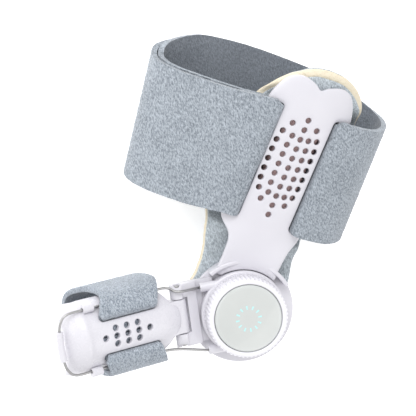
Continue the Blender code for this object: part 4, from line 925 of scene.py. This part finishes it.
def toe_path(along):
    middle, inner, wide, lean = CUFF_SLOT_MIDDLE, CUFF_SLOT_INNER, TOE_HALF, TOE_LEAN
    over = cuff_height(along, middle) + TOE_WALL / 2 + GAP
    shoulder = on_shoulder(CUFF_RADIUS + 0.0020 + TOE_WALL / 2)
    floor = (-PIN_HEIGHT - along * math.sin(CUFF_TILT) + TOE_WALL / 2) / math.cos(CUFF_TILT)
    bottom, room = max(-TOE_DEPTH + TOE_WALL / 2, floor), TOE_WALL / 2 + GAP
    under = [cuff_height(along, across) - CUFF_WALL for across in (0.0, inner / 2, inner)]
    half = (
        # across, height, shift along the toe: from under the cuff through the slot and round the toe
        (0.0002, under[0] - room * 1.1, 0), (inner / 2, under[1] - room * 1.1, 0),
        (inner, under[2] - room * 1.05, 0), (inner + room * 0.75, under[2] - room * 0.75, 0),
        (middle, under[2], 0), (middle, over - FOLD, 0), (middle + FOLD * 0.4, over - FOLD * 0.3, 0),
        (middle + FOLD * 1.4, over, 0), (*shoulder, lean * 0.5), (wide, shoulder[1] - 0.005, lean),
        (wide + 0.0008, bottom * 0.36, lean), (wide + 0.0002, bottom * 0.62, lean * 0.6),
        (wide * 0.86, bottom * 0.87, lean * 0.2), (wide * 0.55, bottom * 0.985, 0), (0, bottom, 0))
    right = smooth_path([Vector(p) for p in half], 8)
    left = [Vector((-p.x, p.y, p.z)) for p in reversed(right[:-1])]
    path = [Vector((p.x, max(p.y, bottom), p.z)) for p in right + left]
    inward, places = 2 * (TOE_START + TOE_WIDTH / 2 - along) / TOE_WIDTH, []
    for p in even_path(path, 0.0009):
        pull = corner_pull(abs(p.x) - middle) if p.y > under[2] else 0.0
        places.append(Vector((along + p.z + pull * inward, p.x, p.y)))
    return places


toe_paths = [toe_path(TOE_START + TOE_WIDTH * k / 6) for k in range(7)]
toe_length = sum((b - a).length for a, b in zip(toe_paths[3], toe_paths[3][1:]))
toe_strap = bake(band("plush_toe_strap", toe_paths, TOE_WALL, 0.0008, 32), cuff_place, 75)
# Painted shade on the inner side of the toe strap's loop.
mark_loop_shade(toe_strap, cuff_place, 0, (0, 0, -0.012))
ruffle(toe_strap, 820, 0.00014)
keep(toe_strap, toe_plush, "cuff", "grey_plush", "toe_strap")
print("toe strap length in mm", round(toe_length * 1000))

# %% [markdown]
# ## Lace
# A steel lace leaves the two noses, runs along both sides of the cuff through small guides and turns round
# the tip in a white sleeve. It is a rope of six strands: a tube whose section has six lobes that turn along
# it.

# %% Lace route
LACE, SLEEVE, SLEEVE_LENGTH = 0.0006, 0.0015, 0.013
GUIDE, GUIDE_LENGTH, GUIDE_ALONG, GUIDE_SINK = 0.0019, 0.0046, 0.0428, 0.0002
NOSE_ALONG, NOSE_ACROSS, NOSE_LENGTH = 0.011, 0.0137, 0.006


def lace_half(side_sign):
    tilt = Matrix.Rotation(CUFF_TILT, 4, "Y")
    level = HOUSING_BASE + HOUSING_HEIGHT / 2 - PIN_HEIGHT
    start, across = NOSE_ALONG + NOSE_LENGTH - PIN_REACH, NOSE_ACROSS - side_sign * ARM_OFFSET
    nose = [tilt @ Vector((start + step, across, level)) for step in (-0.003, -0.001, 0.001)]
    side, run = on_shoulder(CUFF_RADIUS + LACE + 0.0004)
    bore_at = on_shoulder(CUFF_RADIUS + LACE + 0.0006)
    y, z = on_shoulder(CUFF_RADIUS + GUIDE - GUIDE_SINK)
    over_prong = KNUCKLE + LACE + 0.0004
    prong = [tilt @ Vector((a, b, over_prong)) for a, b in ((-0.0020, 0.0112), (0.0014, 0.01171))]
    beside_toe = (
        # along the toe, across it and out of it
        (0.0065, side + 0.0004, run - 0.0004), (0.025, side, run),
        (TOE_START + TOE_WIDTH - 0.001, side, run),
        (GUIDE_ALONG - GUIDE_LENGTH / 2, *bore_at), (GUIDE_ALONG + GUIDE_LENGTH / 2, *bore_at),
        (CUFF_END - 0.00085, y - 0.0007, z - 0.0003), (CUFF_END + 0.0020, y - 0.0031, z - 0.0009),
        (CUFF_END + 0.0031, SLEEVE_LENGTH / 2, z - 0.0014), (CUFF_END + 0.0034, 0, z - 0.0015))
    return nose + (prong if side_sign < 0 else []) + [Vector(p) for p in beside_toe]


near = lace_half(1)
far = [Vector((p.x, -p.y, p.z)) for p in reversed(lace_half(-1)[:-1])]
lace_route = even_path(smooth_path(near + far, 12), 0.00030)
lace_length = sum((b - a).length for a, b in zip(lace_route, lace_route[1:]))
print("lace length in mm", round(lace_length * 1000))


# %% Tubes
def tube(name, path, radius, sides, lobes=0, depth=0.0, pitch=1.0):
    """A tube along a path; lobes that turn with the pitch make it a rope."""
    bm = bmesh.new()
    bmesh.ops.create_grid(bm, x_segments=len(path) - 1, y_segments=sides, size=0.5)
    normal, frames = Vector((0, 0, 1)), []
    travelled = 0.0
    for k, point in enumerate(path):
        along = (path[min(k + 1, len(path) - 1)] - path[max(k - 1, 0)]).normalized()
        normal = (normal - along * normal.dot(along)).normalized()
        frames.append((normal, along.cross(normal), travelled))
        if k + 1 < len(path):
            travelled += (path[k + 1] - point).length
    for vert in bm.verts:
        k = round((vert.co.x + 0.5) * (len(path) - 1))
        turn = (vert.co.y + 0.5) * math.tau
        first, second, gone = frames[k]
        reach = radius
        if lobes:
            reach -= depth * (0.5 - 0.5 * math.cos(lobes * turn + gone / pitch * math.tau))
        vert.co = path[k] + (first * math.cos(turn) + second * math.sin(turn)) * reach
    bmesh.ops.remove_doubles(bm, verts=bm.verts[:], dist=2e-6)
    bmesh.ops.holes_fill(bm, edges=[e for e in bm.edges if e.is_boundary], sides=sides + 2)
    return from_bmesh(bm, name)


lace = bake(tube("twisted_lace", lace_route, LACE, 24, 6, 0.00016, 0.0009), cuff_place, 60)
lace.data.materials.append(steel_look)
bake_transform(lace)
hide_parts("lace")

# %% [markdown]
# The noses, the guides and the sleeve are short tubes with rounded mouths. The hole shows dark because it
# is a real bore, cut with a tool that follows the lace.


# %% Small tubes
def hollow(name, path, radius, bore_path, bore_radius, place, body, look, *nodes):
    piece = tube(name, path, radius, 32)
    tool = tube("bore_tool", bore_path, bore_radius, 20)
    cut(piece, tool)
    keep(bake(rounded(piece, 0.00025, 2, 50), place, 50), look, body, "white_plastic", *nodes)
    bpy.data.objects.remove(tool)


for side, name in ((-1, "upper"), (1, "lower")):
    level = HOUSING_BASE + HOUSING_HEIGHT / 2
    points = [Vector((NOSE_ALONG - 0.004 + 0.0005 * k, side * NOSE_ACROSS, level)) for k in range(21)]
    bore_points = [Vector((NOSE_ALONG + 0.002 + 0.0005 * k, side * NOSE_ACROSS, level)) for k in range(12)]
    hollow("nose_" + name, points, 0.0020, bore_points, 0.0010, arm_place, "arm", arm_white)

# %% Guides and sleeve
for side, name in ((-1, "lace_guide_upper"), (1, "lace_guide_lower")):
    y, z = on_shoulder(CUFF_RADIUS + GUIDE - GUIDE_SINK)
    half = GUIDE_LENGTH / 2
    points = [Vector((GUIDE_ALONG - half + GUIDE_LENGTH * k / 8, side * y, z)) for k in range(9)]
    passing = [p for p in lace_route if abs(p.x - GUIDE_ALONG) < half + 0.002 and p.y * side > 0]
    hollow("guide_" + name[11:], points, GUIDE, passing[::2], LACE + GAP, cuff_place, "cuff", cuff_white,
           name)
inside_sleeve = [k for k, p in enumerate(lace_route) if abs(p.y) <= SLEEVE_LENGTH / 2 and p.x > CUFF_END]
first, last = inside_sleeve[0], inside_sleeve[-1]
hollow("tip_sleeve", lace_route[first:last + 1:2], SLEEVE, lace_route[first - 4:last + 5:2], LACE + GAP,
       cuff_place, "cuff", cuff_white, "lace_sleeve")

# %% [markdown]
# ## Camera, floor and light
# The photograph looks almost straight down, a little from the left. The floor is white and the light is
# broad and soft, so that the shadows stay faint.

# %% Camera
SIDE_LEAN, FAR_LEAN, CAMERA_TURN = -0.187, 0.084, math.radians(19.7)
CAMERA_DISTANCE, FOCAL_PIXELS, PICTURE_PIXELS, SENSOR = 0.700, 1667, 416, 36
view_way = Vector((SIDE_LEAN, FAR_LEAN, math.sqrt(1 - SIDE_LEAN ** 2 - FAR_LEAN ** 2)))
up = Vector((-math.sin(CAMERA_TURN), math.cos(CAMERA_TURN), 0))
right = up.cross(view_way).normalized()
up = view_way.cross(right)
spot = DIAL + Vector((0, 0, TOP)) + right * -0.0172 + up * 0.0466 + view_way * CAMERA_DISTANCE
camera = bpy.data.objects.new("camera", bpy.data.cameras.new("camera"))
camera.data.lens = SENSOR * FOCAL_PIXELS / PICTURE_PIXELS
camera.data.clip_start, camera.data.clip_end = 0.01, 20
camera.matrix_world = Matrix((right, up, view_way)).transposed().to_4x4()
camera.location = spot
scene.collection.objects.link(camera)
scene.camera = camera

# %% Floor
bm = bmesh.new()
bmesh.ops.create_grid(bm, x_segments=4, y_segments=4, size=1.5)
floor = from_bmesh(bm, "floor")
for vert in floor.data.vertices:
    vert.co.z = -0.0002
scene.collection.objects.link(floor)
floor_look = Look("floor_white", Roughness=0.9, Specular_IOR_Level=0.1, Emission_Strength=0.40,
                  Emission_Color=(1.0, 1.0, 1.0, 1.0))
paper = floor_look.blend(floor_look.grain(4, 1), (0.93, 0.93, 0.935, 1), (0.95, 0.95, 0.95, 1))
floor.data.materials.append(floor_look.done(Base_Color=paper))


# %% Lights
LIT_SPOT = Vector((0.0, -0.03, 0.02))


def soft_light(name, place, energy, size):
    data = bpy.data.lights.new(name, "AREA")
    data.energy, data.size = energy, size
    light = bpy.data.objects.new(name, data)
    light.location = place
    light.rotation_mode = "QUATERNION"
    light.rotation_quaternion = (LIT_SPOT - Vector(place)).to_track_quat("-Z", "Y")
    scene.collection.objects.link(light)


soft_light("key", (-0.45, 0.55, 0.80), 5.0, 0.5)
soft_light("side", (-0.90, -0.05, 0.42), 2.6, 0.7)
soft_light("fill", (0.60, -0.30, 0.70), 2.0, 0.8)
world = bpy.data.worlds.new("studio")
world.use_nodes = True
sky = world.node_tree.nodes["Background"].inputs
sky["Color"].default_value, sky["Strength"].default_value = (1, 1, 1, 1), 0.80
scene.world = world
scene.view_settings.view_transform = "Standard"
